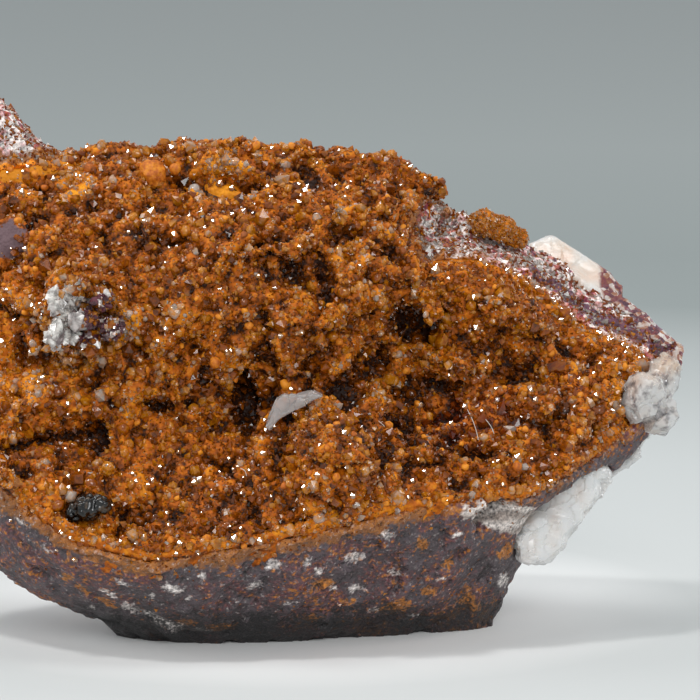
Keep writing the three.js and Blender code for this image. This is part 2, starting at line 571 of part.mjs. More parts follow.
// The origin is under the middle of the specimen's box.
const middle = new THREE.Box3().setFromObject(specimen).getCenter(new THREE.Vector3());
specimen.position.set(-middle.x, -middle.y, 0);

export default specimen;
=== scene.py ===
"""Quartz on barite: the finished look of the specimen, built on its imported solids.

The scene is in metres and the sizes below are in millimetres. +Z is up, X runs along the specimen,
and -Y is the side with the hollow.
"""

import math
from collections import namedtuple
from itertools import product

import bmesh
import bpy
import numpy as np
from bpy.props import FloatProperty, FloatVectorProperty, IntProperty, PointerProperty
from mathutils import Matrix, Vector
from mathutils.bvhtree import BVHTree


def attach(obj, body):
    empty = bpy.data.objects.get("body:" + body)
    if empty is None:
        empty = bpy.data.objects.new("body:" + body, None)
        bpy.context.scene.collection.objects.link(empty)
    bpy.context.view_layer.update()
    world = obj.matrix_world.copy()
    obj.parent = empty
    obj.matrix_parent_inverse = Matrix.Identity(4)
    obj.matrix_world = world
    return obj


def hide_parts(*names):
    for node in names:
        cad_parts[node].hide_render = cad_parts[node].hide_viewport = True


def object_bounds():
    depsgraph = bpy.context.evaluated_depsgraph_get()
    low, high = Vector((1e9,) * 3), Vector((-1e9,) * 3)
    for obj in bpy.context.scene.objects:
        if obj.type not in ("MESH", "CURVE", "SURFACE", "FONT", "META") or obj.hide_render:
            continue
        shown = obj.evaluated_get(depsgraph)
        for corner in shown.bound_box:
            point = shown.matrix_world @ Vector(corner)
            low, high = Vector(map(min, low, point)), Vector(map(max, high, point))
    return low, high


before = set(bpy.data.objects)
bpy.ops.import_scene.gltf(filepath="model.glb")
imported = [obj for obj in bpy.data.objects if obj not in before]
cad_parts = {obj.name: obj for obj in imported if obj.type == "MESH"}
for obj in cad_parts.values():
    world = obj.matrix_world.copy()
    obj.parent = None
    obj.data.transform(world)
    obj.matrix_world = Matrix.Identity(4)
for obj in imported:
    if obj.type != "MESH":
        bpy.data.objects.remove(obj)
CAD_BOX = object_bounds()

bl_info = {
    "name": "Quartz on barite",
    "version": (1, 0, 0),
    "blender": (4, 5, 0),
    "location": "View3D > Sidebar > Specimen",
    "description": "Dresses the solids of a mineral specimen of quartz on barite",
    "category": "Object",
}

MM = 0.001
SEED = 20
CAMERA_TARGET = Vector((6.494, -0.876, 28.2)) * MM
LAMP_MIDDLE = Vector((0, 0, 25)) * MM
# Each lamp's place from the middle of the specimen and its width in metres, and its power in watts.
LAMPS = {
    "key": ((-0.28, -0.13, 0.52), 0.06, 0.95),
    "top": ((0.0, 0.0, 0.85), 0.3, 1.1),
    "fill": ((0.2, -0.8, 0.42), 0.4, 3.2),
    "left": ((-0.7, 0.1, 0.28), 0.3, 1.6),
    "right": ((0.7, 0.3, 0.28), 0.3, 1.0),
}
GROUND_EDGE = 4000.0  # millimetres from the middle of the ground to its edges
GROUND_MIDDLE = (0, 0.012, 0)
GROUND_REACH = 1.2  # metres, where the ground's last tone is reached
# Painted light on the ground, pale round the specimen and painted shade farther off: distance in metres and
# the share of the far tone there.
PAINTED_GROUND_FALLOFF = (
    (0, 0), (0.024, 0.02), (0.043, 0.54), (0.1, 0.6), (0.2, 0.83), (0.244, 1), (0.31, 1),
    (0.5, 0.88), (0.78, 0.82), (1.2, 0.75),
)


def linear(hex_colour):
    """The linear red, green and blue of an sRGB hex colour."""
    channels = [int(hex_colour[i:i + 2], 16) / 255 for i in (1, 3, 5)]
    return tuple(c / 12.92 if c <= 0.04045 else ((c + 0.055) / 1.055) ** 2.4 for c in channels)


def per_metre(size):
    """How many features of a size in millimetres fit in a metre, which is a texture's scale."""
    return 1 / (size * MM)


# ---------------------------------------------------------------- settings


def colour_setting(name, description, hex_colour):
    """A colour that a user can change."""
    return FloatVectorProperty(
        name=name, description=description, subtype="COLOR", default=linear(hex_colour), min=0, max=1)


def count_setting(name, description, count):
    """A number of crystals that a user can change."""
    return IntProperty(name=name, description=description, default=count, min=0)


def size_setting(name, description, size, least=0.1):
    """A length that a user can change, from millimetres."""
    return FloatProperty(
        name=name, description=description, default=size * MM, min=least * MM, unit="LENGTH", precision=5)


class DruseSettings(bpy.types.PropertyGroup):
    """The crust of small quartz crystals."""

    fine_count: count_setting("Fine crystals", "Crystals too small to show more than their points", 60000)
    middle_count: count_setting("Middle crystals", "Crystals that show a little of their sides", 5500)
    large_count: count_setting("Large crystals", "The crystals whose faces can be told apart", 1200)
    bead_count: count_setting("Glassy beads", "Round clusters grown into one bead", 1400)
    ball_count: count_setting("Limonite balls", "Matt balls that sit among the crystals", 300)
    flash_count: count_setting("Flashing crystals", "Small crystals that mirror the key light", 420)
    knob_count: count_setting("Knob crystals", "Small crystals on the knob at the upper right edge", 2600)
    relief: size_setting("Relief", "How deep the creases between the rounded clusters are", 1.8, 0)
    lump: size_setting("Lump size", "Width of the rounded clusters of crystals", 2.4)
    dark: colour_setting("Dark stain", "Colour deep between the crystals", "#2c1205")
    rust: colour_setting("Rust stain", "Main colour of the stain", "#bd600a")
    ochre: colour_setting("Ochre stain", "Brightest colour of the stain", "#f8a01c")
    clear: colour_setting("Clear quartz", "Colour of the crystals that carry no stain", "#f1e7dc")


class RockSettings(bpy.types.PropertyGroup):
    """The host rock."""

    body: colour_setting("Rock", "Main colour of the fresh rock", "#53464c")
    hematite: colour_setting("Hematite", "Colour of the hematite in the rock", "#64343a")
    violet: colour_setting("Violet bands", "Colour of the dark bands beside the crust", "#5a2f42")
    ochre: colour_setting("Ochre", "Colour of the stain beside the crystals", "#84501f")
    yellow: colour_setting("Yellow ochre", "Colour of the fresh ochre on the peak", "#cc7c12")
    fleck: colour_setting("Flecks", "Colour of the barite flecks in the rock", "#dcd3ce")
    chip: size_setting("Chip size", "Width of the flat faces that the rock breaks in", 5.0)
    grain_count: count_setting("Grains", "Small crystals that show on the broken upper faces", 12000)


class BariteSettings(bpy.types.PropertyGroup):
    """The barite crystals."""

    body: colour_setting("Barite", "Colour of the clean crystal", "#fbf8f5")
    band: colour_setting("Bands", "Colour of the cloudy growth bands", "#dbd3ce")
    peach: colour_setting("Peach stain", "Colour of the faint iron stain on the crystals", "#f0c9ab")
    ior: FloatProperty(name="Index of refraction", description="Of barite", default=1.64, min=1, max=3)


class StageSettings(bpy.types.PropertyGroup):
    """The camera, the lights and the ground."""

    distance: size_setting("Camera distance", "From the camera to the point that it looks at", 450, 10)
    elevation: FloatProperty(
        name="Camera elevation", description="Above the horizon", default=math.radians(8), unit="ROTATION")
    view_width: size_setting("View width", "Width of the view at that point", 70, 1)
    key: FloatProperty(
        name="Key light", description="Power of the key light", default=1.0, min=0, unit="POWER")
    world: FloatProperty(
        name="Ambient light", description="Strength of the light from all sides", default=0.78, min=0)
    world_tone: colour_setting("Ambient tone", "Colour of the light from all sides", "#d4d9dc")
    ground: colour_setting("Ground", "Colour of the ground under the specimen", "#fcfcfb")
    # The far tone is painted shade on the ground, far from the specimen.
    far_ground_shade: colour_setting("Far ground", "Colour of the ground far behind", "#9aa1a0")


class SpecimenSettings(bpy.types.PropertyGroup):
    """Everything that a user would change."""

    druse: PointerProperty(type=DruseSettings)
    rock: PointerProperty(type=RockSettings)
    barite: PointerProperty(type=BariteSettings)
    stage: PointerProperty(type=StageSettings)


# ---------------------------------------------------------------- noise, in millimetres


def hashed(places, seed):
    """A number from 0 to 1 for each whole-number place."""
    i, j, k = (places[..., axis].astype(np.int64) for axis in range(3))
    mixed = (i * 73856093) ^ (j * 19349663) ^ (k * 83492791) ^ (seed * 2654435761)
    mixed = (mixed ^ (mixed >> 13)) * 1274126177 & 0xFFFFFFFF
    mixed = (mixed ^ (mixed >> 16)) * 2246822519 & 0xFFFFFFFF
    return ((mixed ^ (mixed >> 15)) & 0xFFFFFF) / 0xFFFFFF


def lumps(points, size, seed=0):
    """Smooth noise from -1 to 1 with one lump per size."""
    place = points / size + 0.37 * seed
    base = np.floor(place)
    part = place - base
    part = part * part * (3 - 2 * part)
    total = np.zeros(len(points))
    for corner in product((0, 1), repeat=3):
        weight = np.prod(np.where(corner, part, 1 - part), axis=1)
        total += weight * hashed(base + corner, seed)
    return 2 * total - 1


TURN = np.array([[0.36, 0.48, -0.8], [-0.8, 0.6, 0.0], [0.48, 0.64, 0.6]])  # keeps octaves off one grid


def fractal(points, size, octaves=4, seed=0, fade=0.5):
    """Noise of several sizes, each half of the last, from about -1 to 1."""
    total, weight, place = np.zeros(len(points)), 1.0, points
    for octave in range(octaves):
        total += weight * lumps(place, size, seed + 7 * octave)
        size, weight, place = size / 2, weight * fade, place @ TURN.T
    return total


def cells(points, size, seed=0):
    """Distance to the nearest of scattered points, to the next, a number and a place for the nearest."""
    place = points / size
    base = np.floor(place)
    nearest = np.full(len(points), 9.0)
    second = nearest.copy()
    number = np.zeros(len(points))
    middle = np.zeros_like(points)
    for corner in product((-1, 0, 1), repeat=3):
        cell = base + corner
        centre = cell + np.stack([hashed(cell, seed + n) for n in range(3)], axis=1)
        distance = np.linalg.norm(place - centre, axis=1)
        closer = distance < nearest
        second = np.where(closer, nearest, np.minimum(second, distance))
        nearest = np.where(closer, distance, nearest)
        number = np.where(closer, hashed(cell, seed + 3), number)
        middle[closer] = centre[closer]
    return nearest, second, number, middle * size


def chips(points, size, seed=0):
    """A broken surface: each cell is one flat face, tilted its own way, from about -1 to 1."""
    _, _, number, middle = cells(points + 0.25 * size * warp(points, 0.6 * size, seed), size, seed)
    key = np.round(middle / size * 64).astype(np.int64)
    tilt = np.stack([hashed(key, seed + 11 + n) for n in range(3)], axis=1) - 0.5
    return ((points - middle) * tilt).sum(axis=1) / size * 2 + (number - 0.5)


def warp(points, size, seed):
    """A smooth sideways push for each point, each part from -1 to 1."""
    return np.stack([lumps(points, size, seed + 31 + n) for n in range(3)], axis=1)


def smoothstep(low, high, value):
    """A smooth rise from 0 at low to 1 at high."""
    share = np.clip((value - low) / (high - low), 0, 1)
    return share * share * (3 - 2 * share)


def dome(near, reach=0.85):
    """The height of a round bead at a distance from its middle: 1 there, and 0 at its reach."""
    return np.sqrt(np.clip(1 - (near / reach) ** 2, 0, 1))


# ---------------------------------------------------------------- places and sizes, in millimetres

# Dark hollows of the crust as seen from the front: x, z, half width, half height, turn in degrees.
HOLLOWS = (
    (-2.3, 27.9, 1.1, 2.2, 0), (3.1, 27.6, 1.1, 1.6, 0), (6.5, 25.6, 1.5, 1.0, 0),
    (12.1, 22.9, 1.6, 0.9, -45), (-7.6, 22.0, 1.0, 0.8, 0), (-6.4, 22.5, 1.2, 0.6, 0),
    (-4.1, 23.8, 0.9, 2.0, 0), (-11.1, 24.2, 2.0, 0.6, 0), (-18.5, 21.3, 0.7, 1.0, 0),
    (-23.6, 21.2, 3.6, 0.3, 0), (-22.2, 31.3, 3.5, 1.0, -20), (-16.4, 13.8, 1.0, 1.4, 0),
    (-12.3, 43.6, 1.8, 0.6, 0), (-5.9, 45.5, 2.6, 0.9, 0), (-2.5, 47.5, 3.0, 0.6, -20),
    (2.5, 46.6, 2.0, 0.6, -40), (-1.5, 40.5, 2.8, 0.6, 20), (3.6, 35.3, 0.6, 2.2, 0),
    (1.6, 36.6, 1.4, 0.5, -30), (13.0, 31.0, 1.9, 1.1, 0), (12.5, 27.2, 1.0, 2.0, 0),
    (21.4, 27.0, 2.6, 0.7, -15), (24.9, 29.0, 1.0, 0.7, 0), (28.5, 28.8, 1.2, 0.6, -30),
    (15.4, 23.2, 2.2, 0.5, 0), (18.3, 20.1, 2.4, 0.7, -10), (2.6, 13.9, 1.6, 0.7, 0),
    (6.5, 38.8, 0.8, 0.6, 0), (11.4, 38.6, 1.6, 0.7, -40), (-20.7, 36.9, 0.8, 0.6, 0),
    (-9.1, 29.2, 1.6, 2.2, 0),
)
# Stretches of the crust whose crystals are nearly free of stain, and others whose stain is red.
CLEAR_SPOTS = (
    (-20.8, 45.0, 2.0, 1.6, 0), (-6.0, 45.8, 3.0, 1.8, 10), (6.0, 42.8, 0.9, 0.8, 0),
    (-26.0, 27.0, 3.0, 2.4, 0), (-15.3, 31.6, 1.2, 2.6, 0), (23.4, 18.6, 0.9, 0.7, 0),
)
RED_SPOTS = ((18.8, 22.3, 4.5, 2.6, 10), (12.6, 13.2, 3.0, 1.6, 0), (28.2, 26.0, 2.0, 1.0, -30))
# Where the crust leaves the rock bare, and a matt patch of yellow ochre on the crust and on the rock.
BARE_PATCH = (-27.6, 39.6, 2.3, 2.0, 10)
YELLOW_PATCH, YELLOW_ROCK = (-26.6, 45.9, 3.6, 0.8, 4), (-26.6, 45.8, 4.4, 1.1, 4)
STRIPED_ROCK = (22.0, 12.7, 4.6, 1.9, -20)  # pale striped rock beside the wedge of barite
# Flecks of barite and spots of ochre on the lower face of the rock.
PALE_FLECKS = (
    (-1.0, 9.4, 0.8, 0.5, 0), (6.7, 9.7, 1.1, 0.6, 0), (3.4, 8.5, 0.6, 0.4, -20),
    (2.4, 9.5, 0.4, 0.3, 0), (-7.8, 8.5, 0.4, 0.5, 0), (-10.7, 7.1, 1.1, 0.45, -15),
    (-12.8, 6.1, 0.4, 0.5, 0), (-9.3, 5.9, 0.4, 0.25, 0), (-15.6, 7.7, 0.9, 0.3, -30),
    (-15.1, 4.3, 1.2, 0.6, -35), (-11.2, 2.4, 1.5, 0.6, -10), (-3.0, 7.0, 1.0, 0.4, 20),
    (7.2, 6.1, 0.8, 0.4, 0), (4.8, 6.3, 0.5, 0.3, 0), (10.7, 7.5, 0.7, 0.5, 0),
    (10.2, 12.0, 0.9, 0.5, 0), (21.9, 5.2, 0.6, 0.9, 0), (-18.8, 4.0, 0.5, 0.3, 0),
    (-12.6, 3.3, 1.6, 0.35, -25), (-16.9, 6.0, 1.1, 0.3, -40), (-8.0, 1.8, 1.2, 0.25, -5),
    (0.6, 4.9, 0.7, 0.25, 15), (8.9, 3.4, 0.5, 0.3, 0), (15.5, 6.6, 0.5, 0.2, 20),
    (-25.2, 13.6, 1.0, 0.25, -30), (-23.0, 11.0, 0.6, 0.2, -30), (12.9, 2.4, 0.9, 0.2, 0),
    (17.0, 11.5, 0.6, 0.3, 30),
)
OCHRE_FLECKS = (
    (11.1, 3.8, 1.6, 0.7, 10), (18.2, 3.5, 0.9, 0.8, -30), (16.2, 8.3, 0.5, 0.4, 0),
    (14.2, 5.2, 0.7, 0.5, 0), (13.6, 10.8, 0.7, 0.8, 0), (3.9, 6.9, 1.1, 0.4, 0),
    (2.8, 2.9, 0.9, 0.3, 0), (-6.3, 2.1, 1.3, 0.5, 0), (-9.5, 2.8, 0.9, 0.4, 0),
    (-17.3, 4.8, 1.3, 0.4, -40), (-21.1, 8.0, 0.6, 0.4, 0), (22.1, 8.6, 0.9, 0.8, 0),
    (6.5, 4.8, 0.7, 0.25, 0), (19.0, 2.5, 0.5, 0.4, 0), (-19.6, 6.6, 0.7, 0.3, -40),
)
# The crystals of the crust that flash most: x and z.
FLASHES = (
    (1.5, 44.5), (6.3, 43.9), (-10.9, 40.1), (-12.3, 38.1), (2.1, 31.1), (5.8, 22.5), (3.3, 18.9),
    (6.2, 19.1), (13.6, 18.1), (-5.0, 12.5), (-18.4, 14.6), (-23.7, 27.3), (-26.0, 44.5),
    (15.0, 36.9), (18.6, 30.5), (24.6, 27.5), (23.2, 19.1),
)
# Fibres of lint that lie on the crust: both ends.
FIBRES = (
    ((-4.5, 18.6), (-3.3, 18.0)),
    ((17.3, 22.9), (18.9, 20.9)),
    ((20.0, 22.5), (20.9, 21.1)),
    ((8.9, 22.8), (9.9, 22.4)),
)
# The thin chip of barite over the low dome of the crust: its outline in x and z, and its front and back.
CHIP_OUTLINE = (
    (-1.7, 22.4), (-1.2, 23.7), (-0.8, 24.9), (-0.2, 25.5), (1.2, 25.5), (3.0, 25.7), (4.0, 25.4),
    (2.6, 24.7), (1.5, 24.1), (0.2, 23.5), (-0.6, 22.9), (-1.3, 22.0),
)
CHIP_DEPTH = (-13.4, -11.4)
DOME_PLACE = (4.6, 19.2, 5.6, 6.2, 0)  # the low dome of the crust: x, z, half width, half height, turn
BALL_PLACE = (-13.2, 46.1)  # the large ball of limonite under the crest

# Where something begins along X, Y or Z: first where there is none of it, then where it is in full.
CRAG_X, CRAG_Z = (10, 16), (24, 28)  # the slope behind the right half, broken across its layers
PEAK_X, PEAK_Z = (-19, -23), (43, 46)  # the peak, broken in the same way
VIOLET_X, VIOLET_Z = (22, 26), (25, 28)  # violet bands beside the crust
FAINT_SELVAGE_X, MORE_OCHRE_X = (12, 19), (14, 20)  # the lower face of the rock, towards its right end
CREST_Z, LIP_Z = (45, 48), (26, 18)  # the crest, painted brighter as painted top light, and the dull lower edge of the crust
KNOT_FOOT_Z, KNOT_TOP_Z = (30.6, 29.8), (35.2, 35.8)  # the rusty ends of the clear knot
FRAGMENT_X = (-19.9, -19.3)  # the rock fragment in the clear knot
BLADE_X, BLADE_Z = (34.5, 33.0), (29.5, 31)  # the blade of barite on the slope
GRAINY_X, GRAINY_Y, GRAINY_Z = (31, 33), (17, 14), (24, 27)  # the grainy upper edge of the barite layer

# How wide the quads of each solid's fine mesh are.
VOXELS = {
    "matrix_rock": 0.5, "quartz_druse": 0.38, "quartz_knob": 0.22, "clear_quartz_knot": 0.2,
    "barite_layer": 0.34, "barite_wedge": 0.17, "barite_corner": 0.16, "barite_flake": 0.12,
    "goethite_nodule": 0.13,
}
# Middle radii of the crystals, beads and balls.
FINE_RADIUS, MIDDLE_RADIUS, LARGE_RADIUS = 0.18, 0.25, 0.42
GRAIN_RADIUS, KNOB_RADIUS, BEAD_RADIUS = 0.16, 0.17, 0.34
LARGE_FLASH_RADIUS, SMALL_FLASH_RADIUS = 0.36, 0.21
LARGE_BALL_RADIUS, SMALL_BALL_RADIUS = 1.6, 0.28
# Each fibre of lint: how many points along it, how many sides and its radius.
FIBRE_STEPS, FIBRE_SIDES, FIBRE_RADIUS = 12, 6, 0.035

BOX_GAP = 0.02  # how far the finished surface stays inside the box of the solids
FOOT_REACH = 0.25  # below this the rock is ground flat to stand on
DRUSE_ROOM = 3.2  # how far the wall of the pocket is moved back, out of the way of the crust's creases


def ellipse(points, x, z, wide, tall, turn):
    """How far each point is from the middle of an ellipse seen from the front, where 1 is its edge."""
    angle = math.radians(turn)
    across, up = points[:, 0] - x, points[:, 2] - z
    return np.hypot((math.cos(angle) * across + math.sin(angle) * up) / wide,
                    (math.cos(angle) * up - math.sin(angle) * across) / tall)


def inside(points, places, soft=0.45):
    """How far inside any of some ellipses each point is, from 0 to 1, with a ragged edge."""
    ragged = 0.3 * fractal(points, 0.8, 2, SEED + 9)
    nearest = np.min([ellipse(points, *place) for place in places], axis=0)
    return smoothstep(1 + soft, 1 - soft, nearest + ragged)


def hollow_depth(points):
    """How deep the crust sinks at each point in its dark hollows."""
    ragged = 0.4 * fractal(points, 1.0, 3, SEED + 8)
    depth = np.zeros(len(points))
    for place in HOLLOWS:
        deep = min(2.6, 1.0 + 1.3 * min(place[2:4]))
        depth = np.maximum(depth, deep * smoothstep(1.9, 0.3, ellipse(points, *place) + ragged))
    # A channel runs round the low dome, deepest over its top.
    rim = ellipse(points, *DOME_PLACE) + 0.12 * ragged
    channel = np.exp(-(((rim - 1.05) / 0.11) ** 2)) * smoothstep(14, 21, points[:, 2])
    return np.maximum(depth, 1.3 * channel) - 0.5 * smoothstep(0.95, 0.5, rim)


# ---------------------------------------------------------------- meshes, in millimetres


def arrays(mesh):
    """The vertices in millimetres and the faces of a mesh, which all have as many corners."""
    points = np.empty(len(mesh.vertices) * 3)
    mesh.vertices.foreach_get("co", points)
    corners = np.empty(len(mesh.loops), np.int64)
    mesh.loops.foreach_get("vertex_index", corners)
    return points.reshape(-1, 3) / MM, corners.reshape(len(mesh.polygons), -1)


def triangles(faces):
    """The faces as triangles."""
    if faces.shape[1] == 3:
        return faces
    return np.concatenate([faces[:, [0, 1, 2]], faces[:, [0, 2, 3]]])


def mesh_of(name, points, faces, attributes=None, smooth=False):
    """A mesh from vertices in millimetres and triangles or quads, with named numbers for each vertex."""
    if not len(faces):
        raise RuntimeError(name + " has no faces")
    mesh = bpy.data.meshes.new(name)
    sides = faces.shape[1]
    mesh.vertices.add(len(points))
    mesh.vertices.foreach_set("co", (points * MM).ravel())
    mesh.loops.add(faces.size)
    mesh.loops.foreach_set("vertex_index", faces.ravel())
    mesh.polygons.add(len(faces))
    mesh.polygons.foreach_set("loop_start", np.arange(0, faces.size, sides))
    mesh.update(calc_edges=True)
    mesh.validate()
    if not smooth:
        mesh.shade_flat()
    for key, values in (attributes or {}).items():
        layer = mesh.attributes.new(key, "FLOAT", "POINT")
        layer.data.foreach_set("value", np.asarray(values, np.float32))
    return mesh


def add_piece(name, mesh, material, slot, *replaced):
    """A finished piece on the specimen's one body."""
    piece = bpy.data.objects.new(name, mesh)
    bpy.context.scene.collection.objects.link(piece)
    mesh.materials.append(material)
    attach(piece, "root")
    if replaced:
        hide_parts(*replaced)
    return piece


def remeshed(points, faces, voxel):
    """The same closed shape in even quads as wide as voxel."""
    mesh = bpy.data.meshes.new("blank")
    mesh.from_pydata(points.tolist(), [], faces.tolist())
    blank = bpy.data.objects.new("blank", mesh)
    bpy.context.scene.collection.objects.link(blank)
    change = blank.modifiers.new("even", "REMESH")
    change.mode = "VOXEL"
    change.voxel_size = voxel
    graph = bpy.context.evaluated_depsgraph_get()
    even = bpy.data.meshes.new_from_object(blank.evaluated_get(graph))
    made_points, made_faces = arrays(even)
    bpy.data.objects.remove(blank)
    bpy.data.meshes.remove(even)
    bpy.data.meshes.remove(mesh)
    if not len(made_faces):
        raise RuntimeError("a blank has vanished in its remesh")
    return made_points * MM, made_faces


def edges_of(faces):
    """The pairs of vertices that share an edge."""
    sides = np.concatenate([faces[:, [k, (k + 1) % faces.shape[1]]] for k in range(faces.shape[1])])
    return np.unique(np.sort(sides, axis=1), axis=0)


def spread(values, pairs, rounds, strength=0.5):
    """Values at the vertices, each moved towards the mean of its neighbours."""
    a, b = pairs[:, 0], pairs[:, 1]
    count = np.bincount(pairs.ravel(), minlength=len(values))[:, None].clip(1)
    values = values.reshape(len(values), -1)
    for _ in range(rounds):
        total = np.stack([
            np.bincount(a, column[b], len(values)) + np.bincount(b, column[a], len(values))
            for column in values.T
        ], axis=1)
        values = values + strength * (total / count - values)
    return values


def normals_of(points, faces):
    """The way out of the surface at each vertex."""
    tris = triangles(faces)
    a, b, c = (points[tris[:, k]] for k in range(3))
    across = np.cross(b - a, c - a)
    total = np.stack([
        sum(np.bincount(tris[:, k], across[:, axis], len(points)) for k in range(3)) for axis in range(3)
    ], axis=1)
    return total / np.linalg.norm(total, axis=1)[:, None].clip(1e-9)


def cad_tree(*names):
    """A search tree of the solids of some nodes, in millimetres."""
    points, faces = [], []
    for name in names:
        node_points, node_faces = arrays(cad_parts[name].data)
        faces += (node_faces + sum(map(len, points))).tolist()
        points.append(node_points)
    return BVHTree.FromPolygons(np.concatenate(points).tolist(), faces)


def distances(tree, points, far=50.0):
    """How far each point is from a tree's surface."""
    found = (tree.find_nearest(Vector(point), far)[3] for point in points)
    return np.array([far if distance is None else distance for distance in found])


def in_box(points):
    """Points kept inside the box of the solids."""
    low, high = (np.array(corner) / MM for corner in CAD_BOX)
    return np.clip(points, low + BOX_GAP, high - BOX_GAP)


def unit(vectors):
    """The vectors, each made 1 long."""
    return vectors / np.linalg.norm(vectors, axis=-1, keepdims=True).clip(1e-9)


def square_to(ways):
    """Two directions for each way, square to it and to each other."""
    reference = np.where(np.abs(ways[:, 2:]) < 0.9, [[0, 0, 1]], [[1, 0, 0]])
    side = unit(np.cross(ways, reference))
    return side, np.cross(ways, side)


# An even fine mesh: its vertices, its quads, its edges and the way out at each vertex.
Surface = namedtuple("Surface", "points faces pairs normals")


def refined(node, rounds, shape=None):
    """The surface of a solid, or of another shape for it, as an even fine mesh."""
    points, faces = shape or arrays(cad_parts[node].data)
    points, faces = remeshed(points, faces, VOXELS[node])
    pairs = edges_of(faces)
    points = spread(points, pairs, rounds)
    return Surface(points, faces, pairs, normals_of(points, faces))


def moved(surface, points):
    """A surface whose vertices have gone to other places."""
    return surface._replace(points=points, normals=normals_of(points, surface.faces))


def raised(surface, height):
    """A surface raised by a height at each vertex, and kept inside the box of the solids."""
    return moved(surface, in_box(surface.points + surface.normals * height[:, None]))


def bulge(surface, rounds=25):
    """How far each vertex stands out from the surface around it. Negative in a hollow."""
    around = spread(surface.points, surface.pairs, rounds)
    return ((surface.points - around) * surface.normals).sum(axis=1)


def depth_behind(tree, points, ways, walls, skip=0.1):
    """How far each point can go along its way, after a skip, before it leaves the last of some walls."""
    depth = np.zeros(len(points))
    for index, (point, way) in enumerate(zip(points.tolist(), ways.tolist())):
        start, way = Vector(point), Vector(way)
        reached = skip
        for _ in range(walls):
            gap = tree.ray_cast(start + way * reached, way)[3]
            if gap is None:
                break
            reached += gap + 0.05
        depth[index] = reached
    return depth


def faces_wall(tree, points, normals, reach):
    """Which points have a wall in front of them within reach."""
    gaps = (tree.ray_cast(Vector(point) + 0.05 * Vector(way), Vector(way), reach)[3]
            for point, way in zip(points.tolist(), normals.tolist()))
    return np.array([gap is not None for gap in gaps])


def in_front(points, x, z, among=24):
    """The place on the front of some vertices nearest an x and a z, and its vertex."""
    close = np.argpartition(np.hypot(points[:, 0] - x, points[:, 2] - z), among)[:among]
    index = close[points[close, 1].argmin()]
    return points[index], index


def joined(shape, faces, places, sizes, ways, random):
    """Copies of one small shape, each at its place, in its size and with its Z turned its way."""
    side, other = square_to(ways)
    spin = random.uniform(0, 2 * math.pi, (len(places), 1))
    first = np.cos(spin) * side + np.sin(spin) * other
    second = np.cross(ways, first)
    sizes = np.broadcast_to(np.asarray(sizes, float).reshape(len(places), -1), (len(places), 3))
    scaled = shape[None] * sizes[:, None]
    made = places[:, None] + np.einsum("nvk,nkd->nvd", scaled, np.stack([first, second, ways], axis=1))
    tris = (faces[None] + len(shape) * np.arange(len(places))[:, None, None]).reshape(-1, 3)
    return made.reshape(-1, 3), tris


def taken(build):
    """The vertices and triangles of a shape under construction, which ends there."""
    points = np.array([vertex.co[:] for vertex in build.verts])
    faces = np.array([[vertex.index for vertex in face.verts] for face in build.faces])
    build.free()
    return points, faces


def slab(outline, front, back):
    """A flat outline of x and z made thick from one y to another: vertices and triangles."""
    build = bmesh.new()
    rim = [build.verts.new((x, front, z)) for x, z in outline]
    made = bmesh.ops.extrude_face_region(build, geom=[build.faces.new(rim)])["geom"]
    bmesh.ops.translate(build, verts=[part for part in made if isinstance(part, bmesh.types.BMVert)],
                        vec=(0, back - front, 0))
    bmesh.ops.triangulate(build, faces=build.faces)
    bmesh.ops.recalc_face_normals(build, faces=build.faces)
    return taken(build)


def ball_shape(rounds=2):
    """A ball of radius 1: vertices and triangles."""
    build = bmesh.new()
    bmesh.ops.create_icosphere(build, subdivisions=rounds, radius=1)
    return taken(build)


def tube(line, sides, radius):
    """A closed tube round a line of points: vertices and triangles."""
    along = unit(np.gradient(line, axis=0))
    side = unit(np.cross(along, [0, 1, 0]))
    other = np.cross(along, side)
    turn = np.arange(sides) * 2 * math.pi / sides
    ring = np.cos(turn)[None, :, None] * side[:, None]
    ring = ring + np.sin(turn)[None, :, None] * other[:, None]
    tris = []
    for step in range(len(line) - 1):
        for corner in range(sides):
            a, b = step * sides + corner, step * sides + (corner + 1) % sides
            tris += [[a, b, b + sides], [a, b + sides, a + sides]]
    for start, turned in ((0, -1), ((len(line) - 1) * sides, 1)):
        tris += [[start, start + corner, start + corner + 1][::turned] for corner in range(1, sides - 1)]
    return (line[:, None] + radius * ring).reshape(-1, 3), np.array(tris)


# ---------------------------------------------------------------- quartz crystals

TIP = 1.15  # a crystal's tip is this many of its radii high
FACE_ANGLE = math.atan2(TIP, math.cos(math.pi / 6))  # between a crystal's axis and a tip face's normal


